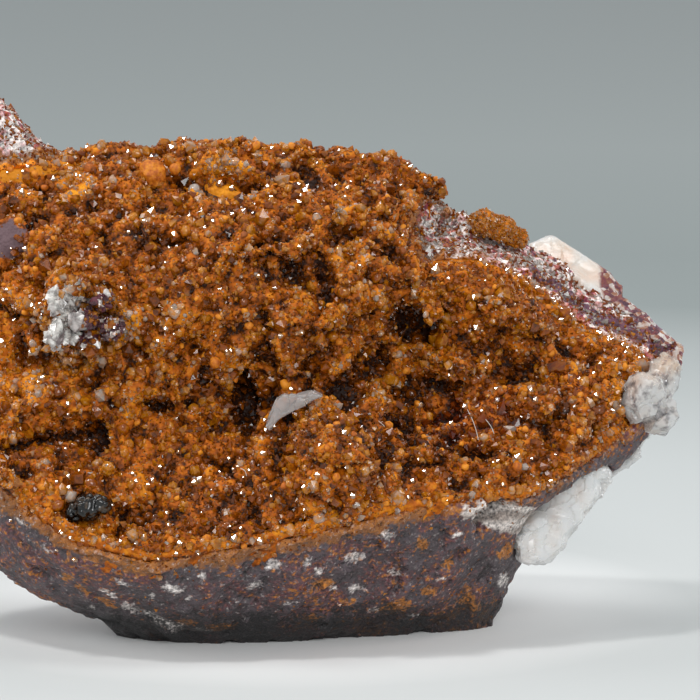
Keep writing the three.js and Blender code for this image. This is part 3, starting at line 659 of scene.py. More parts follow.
def quartz_crystals(feet, axes, radii, prisms, random, spins=None):
    """Six-sided crystals, joined, uneven unless their turns are given: points, triangles and heights."""
    count = len(feet)
    side, other = square_to(axes)
    ragged = 0 if spins is not None else 1
    spin = random.uniform(0, math.pi / 3, count) if spins is None else spins
    uneven = 1 + ragged * random.uniform(-0.25, 0.15, (count, 6))
    step = ragged * np.array([-1, 1, -1, 1, -1, 1]) * random.uniform(0, 0.22, (count, 1))
    lean = ragged * random.normal(0, 0.16, (count, 2))
    corner, ahead = np.arange(6), np.roll(np.arange(6), -1)
    angle = spin[:, None] + corner * math.pi / 3
    flat = (np.cos(angle) * uneven)[..., None] * side[:, None]
    flat += (np.sin(angle) * uneven)[..., None] * other[:, None]
    ring = feet[:, None] + flat * radii[:, None, None]
    shoulder = ring + axes[:, None] * ((prisms[:, None] + step) * radii[:, None])[..., None]
    tip = feet + axes * (radii * (prisms + TIP))[:, None]
    tip += (lean[:, :1] * side + lean[:, 1:] * other) * radii[:, None]
    root = ring - axes[:, None] * (0.5 * radii[:, None])[..., None]
    points = np.concatenate([root, shoulder, tip[:, None]], axis=1)
    each = points.shape[1]
    base = np.stack([np.zeros(4, int), np.arange(2, 6), np.arange(1, 5)], axis=1)
    pattern = np.concatenate([
        np.stack([corner, ahead, ahead + 6], axis=1),
        np.stack([corner, ahead + 6, corner + 6], axis=1),
        np.stack([corner + 6, ahead + 6, np.full(6, each - 1)], axis=1),
        base,
    ])
    faces = (pattern[None] + each * np.arange(count)[:, None, None]).reshape(-1, 3)
    # The heights darken each crystal towards its root: painted shade between the crystals.
    height = np.tile([0.0] * 6 + [0.6] * 6 + [1.0], count)
    return points.reshape(-1, 3), faces, height


def quartz_points(feet, axes, radii, random):
    """Crystals too small to show sides, as closed three-sided points: points, triangles and heights."""
    turn = np.arange(3) * 2 * math.pi / 3
    shape = np.concatenate([np.stack([np.cos(turn), np.sin(turn), np.zeros(3)], axis=1), [[0, 0, 1.0]]])
    faces = np.array([[0, 1, 3], [1, 2, 3], [2, 0, 3], [0, 2, 1]])
    tall = random.uniform(0.6, 1.2, len(feet)) * radii
    points, tris = joined(shape, faces, feet, np.stack([radii, radii, tall], axis=1), axes, random)
    # The heights darken each point towards its root: painted shade between the crystals.
    return points, tris, np.tile([0.3, 0.3, 0.3, 1.0], len(feet))


def flashing_crystals(feet, normals, towards, radii, random):
    """Even crystals of which one face each mirrors the key light: towards is that face's way."""
    along = unit(normals - (normals * towards).sum(axis=1)[:, None] * towards)
    axes = math.cos(FACE_ANGLE) * towards + math.sin(FACE_ANGLE) * along
    face = math.sin(FACE_ANGLE) * towards - math.cos(FACE_ANGLE) * along
    side, other = square_to(axes)
    spins = np.arctan2((face * other).sum(axis=1), (face * side).sum(axis=1)) - math.pi / 6
    return quartz_crystals(feet, axes, radii, np.full(len(feet), 0.3), random, spins)


def scattered(surface, weights, count, random):
    """Random places on a surface, and the corners of the triangle that each lies on."""
    tris = triangles(surface.faces)
    a, b, c = (surface.points[tris[:, k]] for k in range(3))
    share = np.linalg.norm(np.cross(b - a, c - a), axis=1) * weights[tris].mean(axis=1)
    chosen = random.choice(len(tris), count, p=share / share.sum())
    u, v = random.uniform(0, 1, (2, count, 1))
    u, v = np.where(u + v > 1, 1 - u, u), np.where(u + v > 1, 1 - v, v)
    return a[chosen] + u * (b - a)[chosen] + v * (c - a)[chosen], tris[chosen]


def rooted(surface, weights, count, lean, random):
    """Random crystals on a surface: their feet, leaning axes and the corners of their triangles."""
    feet, corner = scattered(surface, weights, count, random)
    axes = unit(unit(surface.normals[corner].mean(axis=1)) + random.normal(0, lean, (count, 3)))
    return feet, axes, corner


def uneven(radius, share, count, random):
    """Radii that differ by about a share from a middle radius, or from each crystal's own."""
    return radius * np.exp(random.normal(0, share, count))


def add_crystals(name, crystals, tone, red, material, slot="stained_quartz", smooth=False):
    """Adds joined crystals as one piece: each crystal has its own stain, its own share of red, and heights
    that paint shade towards its root.
    """
    made, tris, height = crystals
    each = len(made) // len(tone)
    marks = {"stain": np.repeat(tone, each), "height": height, "red": np.repeat(red, each)}
    add_piece(name, mesh_of(name, in_box(made), tris, marks, smooth), material, slot)


# ---------------------------------------------------------------- materials


def add(tree, kind, inputs=None, out=0, stops=None, **settings):
    """Adds a node with its inputs and settings, and gives one output. Stops are for a colour ramp."""
    made = tree.nodes.new(kind)
    for key, value in settings.items():
        setattr(made, key, value)
    for key, value in (inputs or {}).items():
        if isinstance(value, bpy.types.NodeSocket):
            tree.links.new(value, made.inputs[key])
        else:
            made.inputs[key].default_value = value
    for index, (place, colour) in enumerate(stops or []):
        elements = made.color_ramp.elements
        stop = elements[index] if index < len(elements) else elements.new(place)
        stop.position = place
        stop.color = (*colour, 1) if isinstance(colour, tuple) else (colour, colour, colour, 1)
    return made.outputs[out] if made.outputs else made


def new_material(name):
    """An empty material, its node tree and the place on the piece that its patterns follow."""
    material = bpy.data.materials.new(name)
    material.use_nodes = True
    tree = material.node_tree
    tree.nodes.clear()
    return material, tree, add(tree, "ShaderNodeTexCoord", out=3)


def finished(material, inputs):
    """A material with its surface, which has the inputs given."""
    shader = add(material.node_tree, "ShaderNodeBsdfPrincipled", inputs)
    add(material.node_tree, "ShaderNodeOutputMaterial", {"Surface": shader})
    return material


def rgba(colour):
    """A colour with its fourth number, which makes it solid."""
    return (*colour[:3], 1)


def paint(hex_colour):
    """A solid colour from its sRGB hex code."""
    return rgba(linear(hex_colour))


def between(first, second, share=0.5):
    """A colour between two others."""
    return tuple((1 - share) * first[channel] + share * second[channel] for channel in range(3))


def values(tree, name):
    """A number that the mesh carries at each vertex."""
    return add(tree, "ShaderNodeAttribute", attribute_name=name, out=2)


def noise(tree, place, size, detail=4.0, **inputs):
    """Noise with lumps of a size in millimetres, from 0 to 1."""
    inputs = {"Vector": place, "Scale": per_metre(size), "Detail": detail, **inputs}
    return add(tree, "ShaderNodeTexNoise", inputs)


def over(tree, share, below, above):
    """A colour laid over another by a share from 0 to 1."""
    return add(tree, "ShaderNodeMix", {0: share, 6: below, 7: above}, out=2, data_type="RGBA")


def darkened(tree, colour, light):
    """A colour made darker or lighter, where a light of 1 leaves it as it is."""
    return add(tree, "ShaderNodeMix", {0: 1.0, 6: colour, 7: light}, out=2, data_type="RGBA",
               blend_type="MULTIPLY")


def ramp(tree, value, low, high, first=0.0, last=1.0):
    """A value brought from one range to another, and kept in it."""
    return add(tree, "ShaderNodeMapRange", {0: value, 1: low, 2: high, 3: first, 4: last})


def laid(tree, colour, above, value, low, high, most=1.0):
    """A colour with another laid over it where a value goes from low to high."""
    return over(tree, ramp(tree, value, low, high, 0.0, most), colour, above)


def coloured(tree, value, stops):
    """The colours that a value from 0 to 1 stands for."""
    return add(tree, "ShaderNodeValToRGB", {"Fac": value}, stops=stops)


def plus(tree, value, other, share=1.0):
    """A value and a share of another."""
    return add(tree, "ShaderNodeMath", {0: other, 1: share, 2: value}, operation="MULTIPLY_ADD")


def grain_numbers(tree, place, size):
    """A number from 0 to 1 for each grain of a size in millimetres."""
    colour = add(tree, "ShaderNodeTexVoronoi", {"Vector": place, "Scale": per_metre(size)}, out=1)
    return add(tree, "ShaderNodeSeparateColor", {0: colour}, out=0)


def bumped(tree, height, strength, depth, **settings):
    """A bump in the surface, as deep as a size in millimetres."""
    inputs = {"Strength": strength, "Distance": depth * MM, "Height": height}
    return add(tree, "ShaderNodeBump", inputs, **settings)


def stained_quartz(settings):
    """Drusy quartz stained by iron: glassy facets over a body from brown through rust to clear."""
    material, tree, place = new_material("stained_drusy_quartz")
    # The stain lies in spots a little smaller than a crystal.
    spots = plus(tree, -0.5, noise(tree, place, 0.45, 3.0))
    stain = plus(tree, values(tree, "stain"), spots, 0.75)
    stains = (settings.dark, settings.rust, settings.ochre, settings.clear)
    dark, rust, ochre, clear = (tuple(colour) for colour in stains)
    colour = coloured(tree, stain, [
        (0.0, dark), (0.25, between(dark, rust)), (0.45, rust), (0.7, ochre),
        (0.85, between(ochre, clear)), (1.0, clear)])
    red = add(tree, "ShaderNodeMath", {0: values(tree, "red"), 1: 0.55}, operation="MULTIPLY")
    colour = over(tree, red, colour, paint("#8c2a12"))
    # A crystal is darkened towards its root as painted shade between the crystals, and clear where it has
    # no stain.
    colour = darkened(tree, colour, ramp(tree, values(tree, "height"), 0.0, 1.0, 0.45, 1.0))
    clearness = ramp(tree, stain, 0.75, 0.95, 0.45, 0.6)
    return finished(material, {
        "Base Color": colour, "Roughness": 0.08, "IOR": 1.544, "Transmission Weight": clearness})


def limonite_bed(settings):
    """Iron oxide between the crystals: matt limonite, with painted shade in the gaps and painted light on
    the lumps.
    """
    material, tree, place = new_material("limonite_between_crystals")
    grain = add(tree, "ShaderNodeTexVoronoi", {"Vector": place, "Scale": per_metre(0.35)})
    spots = plus(tree, -0.5, noise(tree, place, 0.7, 5.0))
    stain = plus(tree, values(tree, "stain"), spots, 0.9)
    dark, rust, ochre = (tuple(c) for c in (settings.dark, settings.rust, settings.ochre))
    colour = coloured(tree, stain, [
        (0.0, between((0, 0, 0), dark)), (0.3, dark), (0.6, rust), (1.0, ochre)])
    for mark, tone in (("bare", "#6b5458"), ("yellow", "#d08010")):
        patch = plus(tree, values(tree, mark), spots, 0.6)
        colour = laid(tree, colour, paint(tone), patch, 0.4, 0.6)
    return finished(material, {
        "Base Color": colour, "Roughness": 0.55, "IOR": 1.54, "Specular IOR Level": 0.2,
        "Normal": bumped(tree, grain, 0.9, 0.12, invert=True)})


def limonite_ball(settings):
    """Limonite in earthy balls: matt orange with a darker dust, and no shine."""
    material, tree, place = new_material("earthy_limonite_ball")
    patches = plus(tree, noise(tree, place, 0.3, 5.0), noise(tree, place, 1.2), 1.2)
    dust = plus(tree, values(tree, "stain"), patches, 0.5)
    rust, ochre = tuple(settings.rust), tuple(settings.ochre)
    colour = coloured(tree, dust, [
        (0.6, between((0, 0, 0), rust)), (0.78, rust), (1.2, between(rust, ochre, 0.65))])
    grain = noise(tree, place, 0.1, 3.0)
    return finished(material, {
        "Base Color": colour, "Roughness": 0.6, "IOR": 1.5, "Normal": bumped(tree, grain, 0.5, 0.05)})


def mineral_grains(tree, place, middle, small, dark, pale):
    """The colours of the clear, red and dark grains on faces broken across the layers."""
    grains = plus(tree, grain_numbers(tree, place, 0.7), middle, 1.6)
    grains = plus(tree, -0.75, plus(tree, grains, small, 0.4))
    return coloured(tree, grains, [
        (0.0, dark[:3]), (0.2, linear("#8a3048")), (0.42, linear("#a45442")), (0.6, linear("#cfa4a4")),
        (0.82, pale[:3])])


def stripes(tree, place):
    """The colours of the pale, finely striped rock."""
    wave = add(tree, "ShaderNodeTexWave", {
        "Vector": place, "Scale": per_metre(5.0), "Distortion": 5.0, "Detail": 5.0}, bands_direction="Z")
    return over(tree, wave, paint("#94877f"), paint("#cfc5bf"))


def hematite_rock(settings):
    """Fine hematitic rock, broken: dull purple-grey, with red hematite, ochre and barite flecks."""
    material, tree, place = new_material("broken_hematite_rock")
    body, hematite, violet, ochre, yellow, fleck = (rgba(c) for c in (
        settings.body, settings.hematite, settings.violet, settings.ochre, settings.yellow, settings.fleck))
    broad, middle, small = (noise(tree, place, size, 5.0) for size in (6.0, 1.6, 0.5))
    fine = noise(tree, place, 0.3, 4.0)
    soot = rgba(between(body, linear("#28221f"), 0.7))
    colour = laid(tree, body, soot, plus(tree, middle, fine, 0.9), 0.75, 1.1)
    reds = plus(tree, plus(tree, broad, middle, 0.5), small, 0.6)
    colour = laid(tree, colour, hematite, reds, 1.0, 1.2, 0.85)
    grains = mineral_grains(tree, place, middle, small, violet, fleck)
    granular = plus(tree, values(tree, "granular"), middle, 0.8)
    colour = laid(tree, colour, grains, granular, 0.75, 0.95)
    violets = plus(tree, values(tree, "violet"), small, 0.6)
    colour = laid(tree, colour, violet, violets, 0.7, 0.95)
    rusty = rgba(between(ochre, yellow, 0.3))
    selvage = plus(tree, values(tree, "selvage"), plus(tree, plus(tree, -0.5, small), middle, 0.5), 1.3)
    dull_rust = laid(tree, rusty, paint("#6a4124"), fine, 0.4, 0.6)
    colour = laid(tree, colour, dull_rust, selvage, 0.7, 1.0)
    # Specks of ochre lie in clusters.
    specks = plus(tree, noise(tree, place, 0.5, 4.0), broad, 0.7)
    specks = plus(tree, specks, values(tree, "ochre"), 0.3)
    colour = laid(tree, colour, rusty, specks, 0.93, 1.06)
    streaks = plus(tree, noise(tree, place, 0.9, 6.0, Roughness=0.65), fine, 0.3)
    flecks = plus(tree, plus(tree, 0.0, streaks, 0.8), values(tree, "fleck"), 0.31)
    colour = laid(tree, colour, fleck, flecks, 0.64, 0.9)
    # A pale dust clings to the rough places.
    dust = noise(tree, place, 0.45, 6.0, Roughness=0.75)
    colour = laid(tree, colour, rgba(between(fleck, body, 0.3)), dust, 0.55, 0.68, 0.45)
    striped = plus(tree, values(tree, "striped"), small, 0.4)
    colour = laid(tree, colour, stripes(tree, place), striped, 0.6, 0.8)
    yellows = plus(tree, values(tree, "yellow"), small, 0.5)
    colour = laid(tree, colour, yellow, yellows, 0.6, 0.8)
    # Painted shade and light: the rock is darkened in its hollows and towards its foot and lightened on its
    # lumps, with a fine random tone.
    dark = plus(tree, plus(tree, values(tree, "bulge"), fine, 2.2), values(tree, "foot_shade"), -0.75)
    colour = darkened(tree, colour, ramp(tree, dark, 0.6, 1.6, 0.1, 1.9))
    return finished(material, {
        "Base Color": colour, "Roughness": ramp(tree, fine, 0.3, 0.7, 0.42, 0.7), "IOR": 1.6,
        "Normal": bumped(tree, plus(tree, fine, small, 0.8), 1.0, 0.2)})


def cleaved_barite(settings):
    """Barite, cleaved: heavy glassy plates, clear at the edges and cloudy along their growth bands."""
    material, tree, place = new_material("cleaved_barite")
    cloud = noise(tree, place, 2.2, 5.0)
    bands = add(tree, "ShaderNodeTexWave", {
        "Vector": place, "Scale": per_metre(9.0), "Distortion": 6.0, "Detail": 4.0})
    cloudy = ramp(tree, plus(tree, cloud, bands, 0.2), 0.5, 0.95)
    colour = over(tree, cloudy, rgba(settings.body), rgba(settings.band))
    peach = plus(tree, values(tree, "peach"), cloud, 0.5)
    colour = laid(tree, colour, rgba(settings.peach), peach, 0.6, 1.0)
    spots = plus(tree, values(tree, "spots"), noise(tree, place, 0.9, 6.0))
    colour = laid(tree, colour, paint("#57535a"), spots, 1.0, 1.22, 0.8)
    dots = plus(tree, -0.3, grain_numbers(tree, place, 0.5), 0.6)
    dots = plus(tree, dots, noise(tree, place, 0.9, 5.0))
    dots = coloured(tree, dots, [
        (0.2, linear("#5a3444")), (0.4, linear("#8a4448")), (0.55, linear("#a8704c")),
        (0.75, linear("#ddd2cc"))])
    grains = plus(tree, values(tree, "grains"), cloud, 0.8)
    colour = laid(tree, colour, dots, grains, 0.8, 1.1)
    clear = plus(tree, ramp(tree, cloudy, 0.0, 1.0, 0.25, 0.1), values(tree, "clear"), 0.5)
    fine = noise(tree, place, 0.25, 3.0)
    return finished(material, {
        "Base Color": colour, "Roughness": 0.22, "IOR": settings.ior, "Transmission Weight": clear,
        "Subsurface Weight": 0.8, "Subsurface Radius": (1.0, 0.95, 0.9), "Subsurface Scale": 2.5 * MM,
        "Normal": bumped(tree, fine, 0.35, 0.05)})


def clear_quartz():
    """Clear quartz: colourless glassy crystals with faint milky veils inside."""
    material, tree, place = new_material("clear_quartz_crystal")
    veil = ramp(tree, noise(tree, place, 0.8, 5.0), 0.42, 0.62)
    clean = ramp(tree, values(tree, "stain"), 0.2, 0.9)
    colour = over(tree, clean, paint("#6e3c46"), paint("#fffaf4"))
    return finished(material, {
        "Base Color": colour, "Roughness": 0.06, "IOR": 1.544,
        "Transmission Weight": ramp(tree, veil, 0.0, 1.0, 0.75, 0.1)})


def botryoidal_goethite():
    """Goethite in grape-like balls: black, smooth and half glossy, with a faint brown dust."""
    material, tree, place = new_material("botryoidal_goethite")
    dust = ramp(tree, noise(tree, place, 0.6, 5.0), 0.52, 0.72)
    return finished(material, {
        "Base Color": over(tree, dust, paint("#070605"), paint("#5a4632")),
        "Roughness": ramp(tree, dust, 0.0, 1.0, 0.16, 0.6), "IOR": 1.6})


def cotton_lint():
    """Cotton lint: white fibres, matt and a little see-through."""
    material, tree, place = new_material("cotton_lint")
    colour = over(tree, noise(tree, place, 0.3, 2.0), paint("#f2eee8"), paint("#cfc6ba"))
    return finished(material, {
        "Base Color": colour, "Roughness": 0.6, "IOR": 1.53, "Transmission Weight": 0.2})


def matt_card(settings):
    """Matt card: a pale ground with a painted pool of light round the specimen, and painted shade that
    turns darker and cooler away from it.
    """
    material, tree, place = new_material("matt_card")
    reach = add(tree, "ShaderNodeVectorMath", {0: place, 1: GROUND_MIDDLE}, out=1, operation="DISTANCE")
    share = add(tree, "ShaderNodeMath", {0: reach, 1: GROUND_REACH}, operation="DIVIDE")
    near, far = tuple(settings.ground), tuple(settings.far_ground_shade)
    # The tones are painted light round the specimen and painted shade farther off.
    colour = coloured(tree, share, [
        (distance / GROUND_REACH, between(near, far, tone)) for distance, tone in PAINTED_GROUND_FALLOFF])
    fibre = noise(tree, place, 0.3, 3.0)
    return finished(material, {
        "Base Color": colour, "Roughness": 0.9, "Specular IOR Level": 0.2,
        "Normal": bumped(tree, fibre, 0.1, 0.05)})


# ---------------------------------------------------------------- operators


def camera_place(settings):
    """Where the camera stands, and where it looks."""
    back = Vector((0, -math.cos(settings.elevation), math.sin(settings.elevation)))
    return CAMERA_TARGET + back * settings.distance, back


class SPECIMEN_OT_stage(bpy.types.Operator):
    """Sets up the camera, the lights and the pale ground"""

    bl_idname = "specimen.stage"
    bl_label = "Stage"

    def execute(self, context):
        settings = context.scene.specimen.stage
        scene = context.scene
        scene.view_settings.view_transform = "Standard"
        camera = bpy.data.objects.new("camera", bpy.data.cameras.new("camera"))
        scene.collection.objects.link(camera)
        camera.location, back = camera_place(settings)
        camera.rotation_euler = back.to_track_quat("Z", "Y").to_euler()
        camera.data.lens = camera.data.sensor_width * settings.distance / settings.view_width
        camera.data.clip_start = 0.01
        scene.camera = camera

        corners = np.array([[-1, -1, 0], [1, -1, 0], [1, 1, 0], [-1, 1, 0]]) * GROUND_EDGE
        mesh = mesh_of("ground", corners, np.array([[0, 1, 2, 3]]))
        ground = bpy.data.objects.new("ground", mesh)
        scene.collection.objects.link(ground)
        mesh.materials.append(matt_card(settings))

        for name, (place, size, power) in LAMPS.items():
            light = bpy.data.lights.new(name, "AREA")
            light.size = size
            light.energy = power * settings.key
            lamp = bpy.data.objects.new(name, light)
            scene.collection.objects.link(lamp)
            lamp.location = Vector(place) + LAMP_MIDDLE
            lamp.rotation_euler = Vector(place).to_track_quat("Z", "Y").to_euler()

        world = bpy.data.worlds.new("studio")
        world.use_nodes = True
        background = world.node_tree.nodes["Background"]
        background.inputs["Color"].default_value = rgba(settings.world_tone)
        background.inputs["Strength"].default_value = settings.world
        scene.world = world
        return {"FINISHED"}


class SPECIMEN_OT_rock(bpy.types.Operator):
    """Builds the broken host rock"""

    bl_idname = "specimen.rock"
    bl_label = "Host rock"

    def execute(self, context):
        settings = context.scene.specimen.rock
        surface = refined("matrix_rock", 4)
        points, smooth = surface.points, unit(spread(surface.normals, surface.pairs, 12))
        crust = distances(cad_tree("quartz_druse"), points)
        covered = spread(crust < 0.6, surface.pairs, 8)[:, 0]
        # The wall of the pocket makes room for the creases of the crust.
        behind = depth_behind(cad_tree("matrix_rock"), points, -smooth, 1, 0.6)
        room = np.minimum(DRUSE_ROOM + hollow_depth(points), behind - 0.8).clip(0)
        points = points - smooth * (smoothstep(0.75, 0.98, covered) * room)[:, None]

        chip = settings.chip / MM
        out = 0.34 * chips(points, chip, SEED) + 0.17 * chips(points, chip / 2.6, SEED + 1)
        out += 0.12 * fractal(points, 1.2, 3, SEED + 2)
        wander = 1.2 * fractal(points, 3.0, 3, SEED + 14)
        x, z = points[:, 0], points[:, 2]
        crag = smoothstep(*CRAG_X, x + 2 * wander) * smoothstep(*CRAG_Z, z + wander)
        crag += smoothstep(*PEAK_Z, z + wander) * smoothstep(*PEAK_X, x)
        out += crag * (0.25 * fractal(points, 1.0, 2, SEED + 3) + 0.2 * chips(points, 1.3, SEED + 4))
        # The selvage is rough, and the rock's foot is flat.
        rough = 0.3 * chips(points, 0.9, SEED + 13) * smoothstep(2.2, 0.8, crust)
        height = out * smoothstep(0.6, 0.2, covered) + rough
        points = in_box(points + surface.normals * height[:, None])
        points[:, 2] = np.where(points[:, 2] < FOOT_REACH, BOX_GAP, points[:, 2])

        surface = moved(surface, points)
        x, y, z = points.T
        ragged = fractal(points, 1.5, 3, SEED + 12)
        violet = smoothstep(*VIOLET_X, x) * smoothstep(*VIOLET_Z, z)
        selvage = smoothstep(3.2, 0.8, crust + 0.7 * ragged)
        more_ochre = 0.05 * smoothstep(*MORE_OCHRE_X, x)
        flecked = y < 3  # the front, which shows the flecks
        marks = {
            "selvage": selvage * (1 - 0.5 * smoothstep(*FAINT_SELVAGE_X, x)),
            "granular": crag.clip(0, 1),
            "violet": violet * smoothstep(0.6, 1.4, crust) * smoothstep(4.6, 3.2, crust),
            "fleck": np.where(flecked, inside(points, PALE_FLECKS), 0),
            "ochre": np.where(flecked, inside(points, OCHRE_FLECKS), 0) + more_ochre,
            "striped": np.where(y < 0, inside(points, [STRIPED_ROCK]), 0),
            "yellow": np.where(y < 8, inside(points, [YELLOW_ROCK]), 0),
            # The bulge paints shade in the rock's hollows and light on its lumps, and the foot shade paints
            # shade towards the rock's foot.
            "bulge": bulge(surface, 12).clip(-0.5, 0.5),
            "foot_shade": smoothstep(5.0, 0.8, z + 0.8 * ragged),
        }
        mesh = mesh_of("host_rock", points, surface.faces, marks)
        add_piece("host_rock", mesh, hematite_rock(settings), "host_rock", "matrix_rock")
        open_rock = (covered < 0.93) * (z > 3)
        weights = open_rock * (0.03 + 1.2 * crag.clip(0, 1) + 2.2 * np.exp(-crust / 0.6))
        self.add_grains(context.scene.specimen, surface, weights, crag, crust)
        return {"FINISHED"}

    def add_grains(self, specimen, surface, weights, crag, crust):
        """Adds small crystals: clear, rusty and red on the broken faces, and rusty along the crust."""
        random = np.random.default_rng(SEED + 1)
        count = specimen.rock.grain_count
        feet, axes, corner = rooted(surface, weights, count, 0.5, random)
        broken = (crag[corner].mean(axis=1) * smoothstep(0.4, 1.2, crust[corner].mean(axis=1))).clip(0, 1)
        radii = uneven(GRAIN_RADIUS + 0.08 * broken, 0.35, count, random)
        grains = quartz_points(feet - axes * (0.2 * radii)[:, None], axes, radii, random)
        tone = np.where(random.uniform(0, 1, count) < 0.35 * broken, 1.1, 0.5)
        tone = tone + random.normal(0, 0.1, count)
        red = (random.uniform(0, 1, count) < 0.7 * broken) * (tone < 0.8)
        add_crystals("rock_grains", grains, tone, red, stained_quartz(specimen.druse))


def stain_at(points):
    """How rusty the druse is at each point, from 0, dark, to 1, clear."""
    broad = fractal(points, 7.0, 3, SEED + 5)
    fine = fractal(points, 1.6, 2, SEED + 6)
    return 0.46 + 0.07 * broad + 0.1 * fine + 0.3 * inside(points, CLEAR_SPOTS)


def creases(points, lump, relief):
    """How far the crust lies under its highest points, between its round clusters and their beads."""
    clusters = cells(points + 0.6 * warp(points, 2.0, SEED), lump, SEED + 3)[0]
    beads = cells(points + 0.2 * warp(points, 0.8, SEED + 1), lump / 2.7, SEED + 4)[0]
    swell = 0.25 * (1 - fractal(points, 6.0, 2, SEED))
    return relief * ((1 - dome(clusters)) + 0.35 * (1 - dome(beads))) + swell


class SPECIMEN_OT_druse(bpy.types.Operator):
    """Builds the crust: its lumpy bed, the quartz crystals that stand on it and the balls of limonite"""

    bl_idname = "specimen.druse"
    bl_label = "Quartz druse"

    def execute(self, context):
        settings = context.scene.specimen.druse
        random = np.random.default_rng(SEED)
        surface = refined("quartz_druse", 3)
        points, smooth = surface.points, unit(spread(surface.normals, surface.pairs, 10))
        rock = cad_tree("matrix_rock")
        hidden = faces_wall(rock, points, surface.normals, 0.8) | (distances(rock, points) < 0.12)
        bare = spread(~hidden, surface.pairs, 7)[:, 0]
        front, back = smoothstep(0.55, 0.92, bare), smoothstep(0.35, 0.05, bare)
        into_rock = smooth * np.where(bare > 0.45, -1, 1)[:, None]
        behind = depth_behind(rock, points, into_rock, 2)
        hollow = hollow_depth(points)
        sink = creases(points, settings.lump / MM, settings.relief / MM) + hollow - 0.1
        sink = np.minimum(sink, (behind - 1.6).clip(0.15))
        under = np.minimum(DRUSE_ROOM + hollow, behind - 0.6).clip(0.2)
        # The edge of the crust swells a little, and so meets the rock all round.
        swell = 0.35 * (1 - front) * (1 - back)
        points = points + into_rock * (front * sink + back * under)[:, None]
        points = in_box(points + smooth * swell[:, None])
        surface = moved(surface, points)
        # Painted shade and light: the stain is lowered where the crust lies in a hollow, and more in the
        # dark hollows, and raised where it stands proud.
        proud = (bulge(surface) / 0.5).clip(-1, 1)
        stain = stain_at(points) + 0.26 * proud - 0.035 * hollow.clip(0) * front
        # The crest is painted brighter, a painted highlight of the top light. Along its lower edge the
        # crust is duller, and nearly free of crystals.
        lip = (1 - front) * smoothstep(*LIP_Z, points[:, 2])
        stain += 0.07 * smoothstep(*CREST_Z, points[:, 2]) - 0.14 * lip
        red = inside(points, RED_SPOTS)
        open_patch, yellow = inside(points, [BARE_PATCH]), inside(points, [YELLOW_PATCH])
        marks = {"stain": stain + 0.02, "red": red, "bare": open_patch, "yellow": yellow}
        bed = mesh_of("druse_bed", points, surface.faces, marks, smooth=True)
        add_piece("druse_bed", bed, limonite_bed(settings), "stained_quartz", "quartz_druse")

        material = stained_quartz(settings)
        weights = smoothstep(0.2, 0.5, bare) * (1 - 0.12 * hollow.clip(0, 3))
        weights *= (1 - np.maximum(open_patch, yellow)) * (1 - 0.8 * lip)
        half = settings.fine_count // 2
        # Each kind: name, count, radius and its spread, height of the sides, share of each place.
        growth = (
            ("druse_points_left", half, FINE_RADIUS, 0.3, None, points[:, 0] < 0),
            ("druse_points_right", half, FINE_RADIUS, 0.3, None, points[:, 0] >= 0),
            ("druse_points_middle", settings.middle_count, MIDDLE_RADIUS, 0.3, 0.4, 1),
            ("druse_points_large", settings.large_count, LARGE_RADIUS, 0.22, 0.5, 1),
        )
        for name, count, radius, spread_of_size, prism, part in growth:
            feet, axes, corner = rooted(surface, weights * part, count, 0.42, random)
            radii = uneven(radius, spread_of_size, count, random)
            feet = feet - axes * (0.2 * radii)[:, None]
            if prism is None:
                crystals = quartz_points(feet, axes, radii, random)
            else:
                prisms = prism * random.uniform(0.4, 1.6, count)
                crystals = quartz_crystals(feet, axes, radii, prisms, random)
            tone = stain[corner].mean(axis=1) + random.normal(-0.02, 0.14, count)
            tone += 0.3 * (random.uniform(0, 1, count) > 0.97)
            add_crystals(name, crystals, tone, red[corner[:, 0]], material)

        self.add_beads(settings, surface, stain, weights, material, random)
        self.add_flashes(context.scene.specimen, surface, material, random)
        self.add_balls(settings, surface, proud * front, random)
        return {"FINISHED"}

    def add_beads(self, settings, surface, stain, weights, material, random):
        """Adds the round clusters whose crystals have grown into one glassy bead."""
        count = settings.bead_count
        feet, corner = scattered(surface, weights, count, random)
        ways = unit(surface.normals[corner].mean(axis=1))
        radii = uneven(BEAD_RADIUS, 0.3, count, random)
        shape, tris = ball_shape()
        feet = feet - ways * (0.15 * radii)[:, None]
        made, tris = joined(shape, tris, feet, radii[:, None], ways, random)
        made = made + 0.16 * warp(made, 0.5, SEED + 18) + 0.06 * warp(made, 0.2, SEED + 19)
        tone = stain[corner].mean(axis=1) + random.normal(0.04, 0.1, count)
        # The beads get an even height, so they carry almost none of the painted shade towards the roots.
        beads = (made, tris, np.full(len(made), 0.9))
        add_crystals("druse_beads", beads, tone, np.zeros(count), material, smooth=True)

    def add_flashes(self, specimen, surface, material, random):
        """Adds the crystals whose faces mirror the key light towards the camera."""
        low, high = surface.points.min(axis=0), surface.points.max(axis=0)
        others = low + random.uniform(0, 1, (specimen.druse.flash_count, 3)) * (high - low)
        found = [in_front(surface.points, x, z) for x, z in (*FLASHES, *others[:, [0, 2]])]
        feet = np.array([place for place, _ in found])
        out = surface.normals[[index for _, index in found]]
        camera = np.array(camera_place(specimen.stage)[0]) / MM
        key = np.array(Vector(LAMPS["key"][0]) + LAMP_MIDDLE) / MM
        towards = unit(unit(camera - feet) + unit(key - feet))
        named = np.arange(len(feet)) < len(FLASHES)
        radii = uneven(np.where(named, LARGE_FLASH_RADIUS, SMALL_FLASH_RADIUS), 0.25, len(feet), random)
        crystals = flashing_crystals(feet, out, towards, radii, random)
        add_crystals("druse_flashes", crystals, np.full(len(feet), 0.8), np.zeros(len(feet)), material)

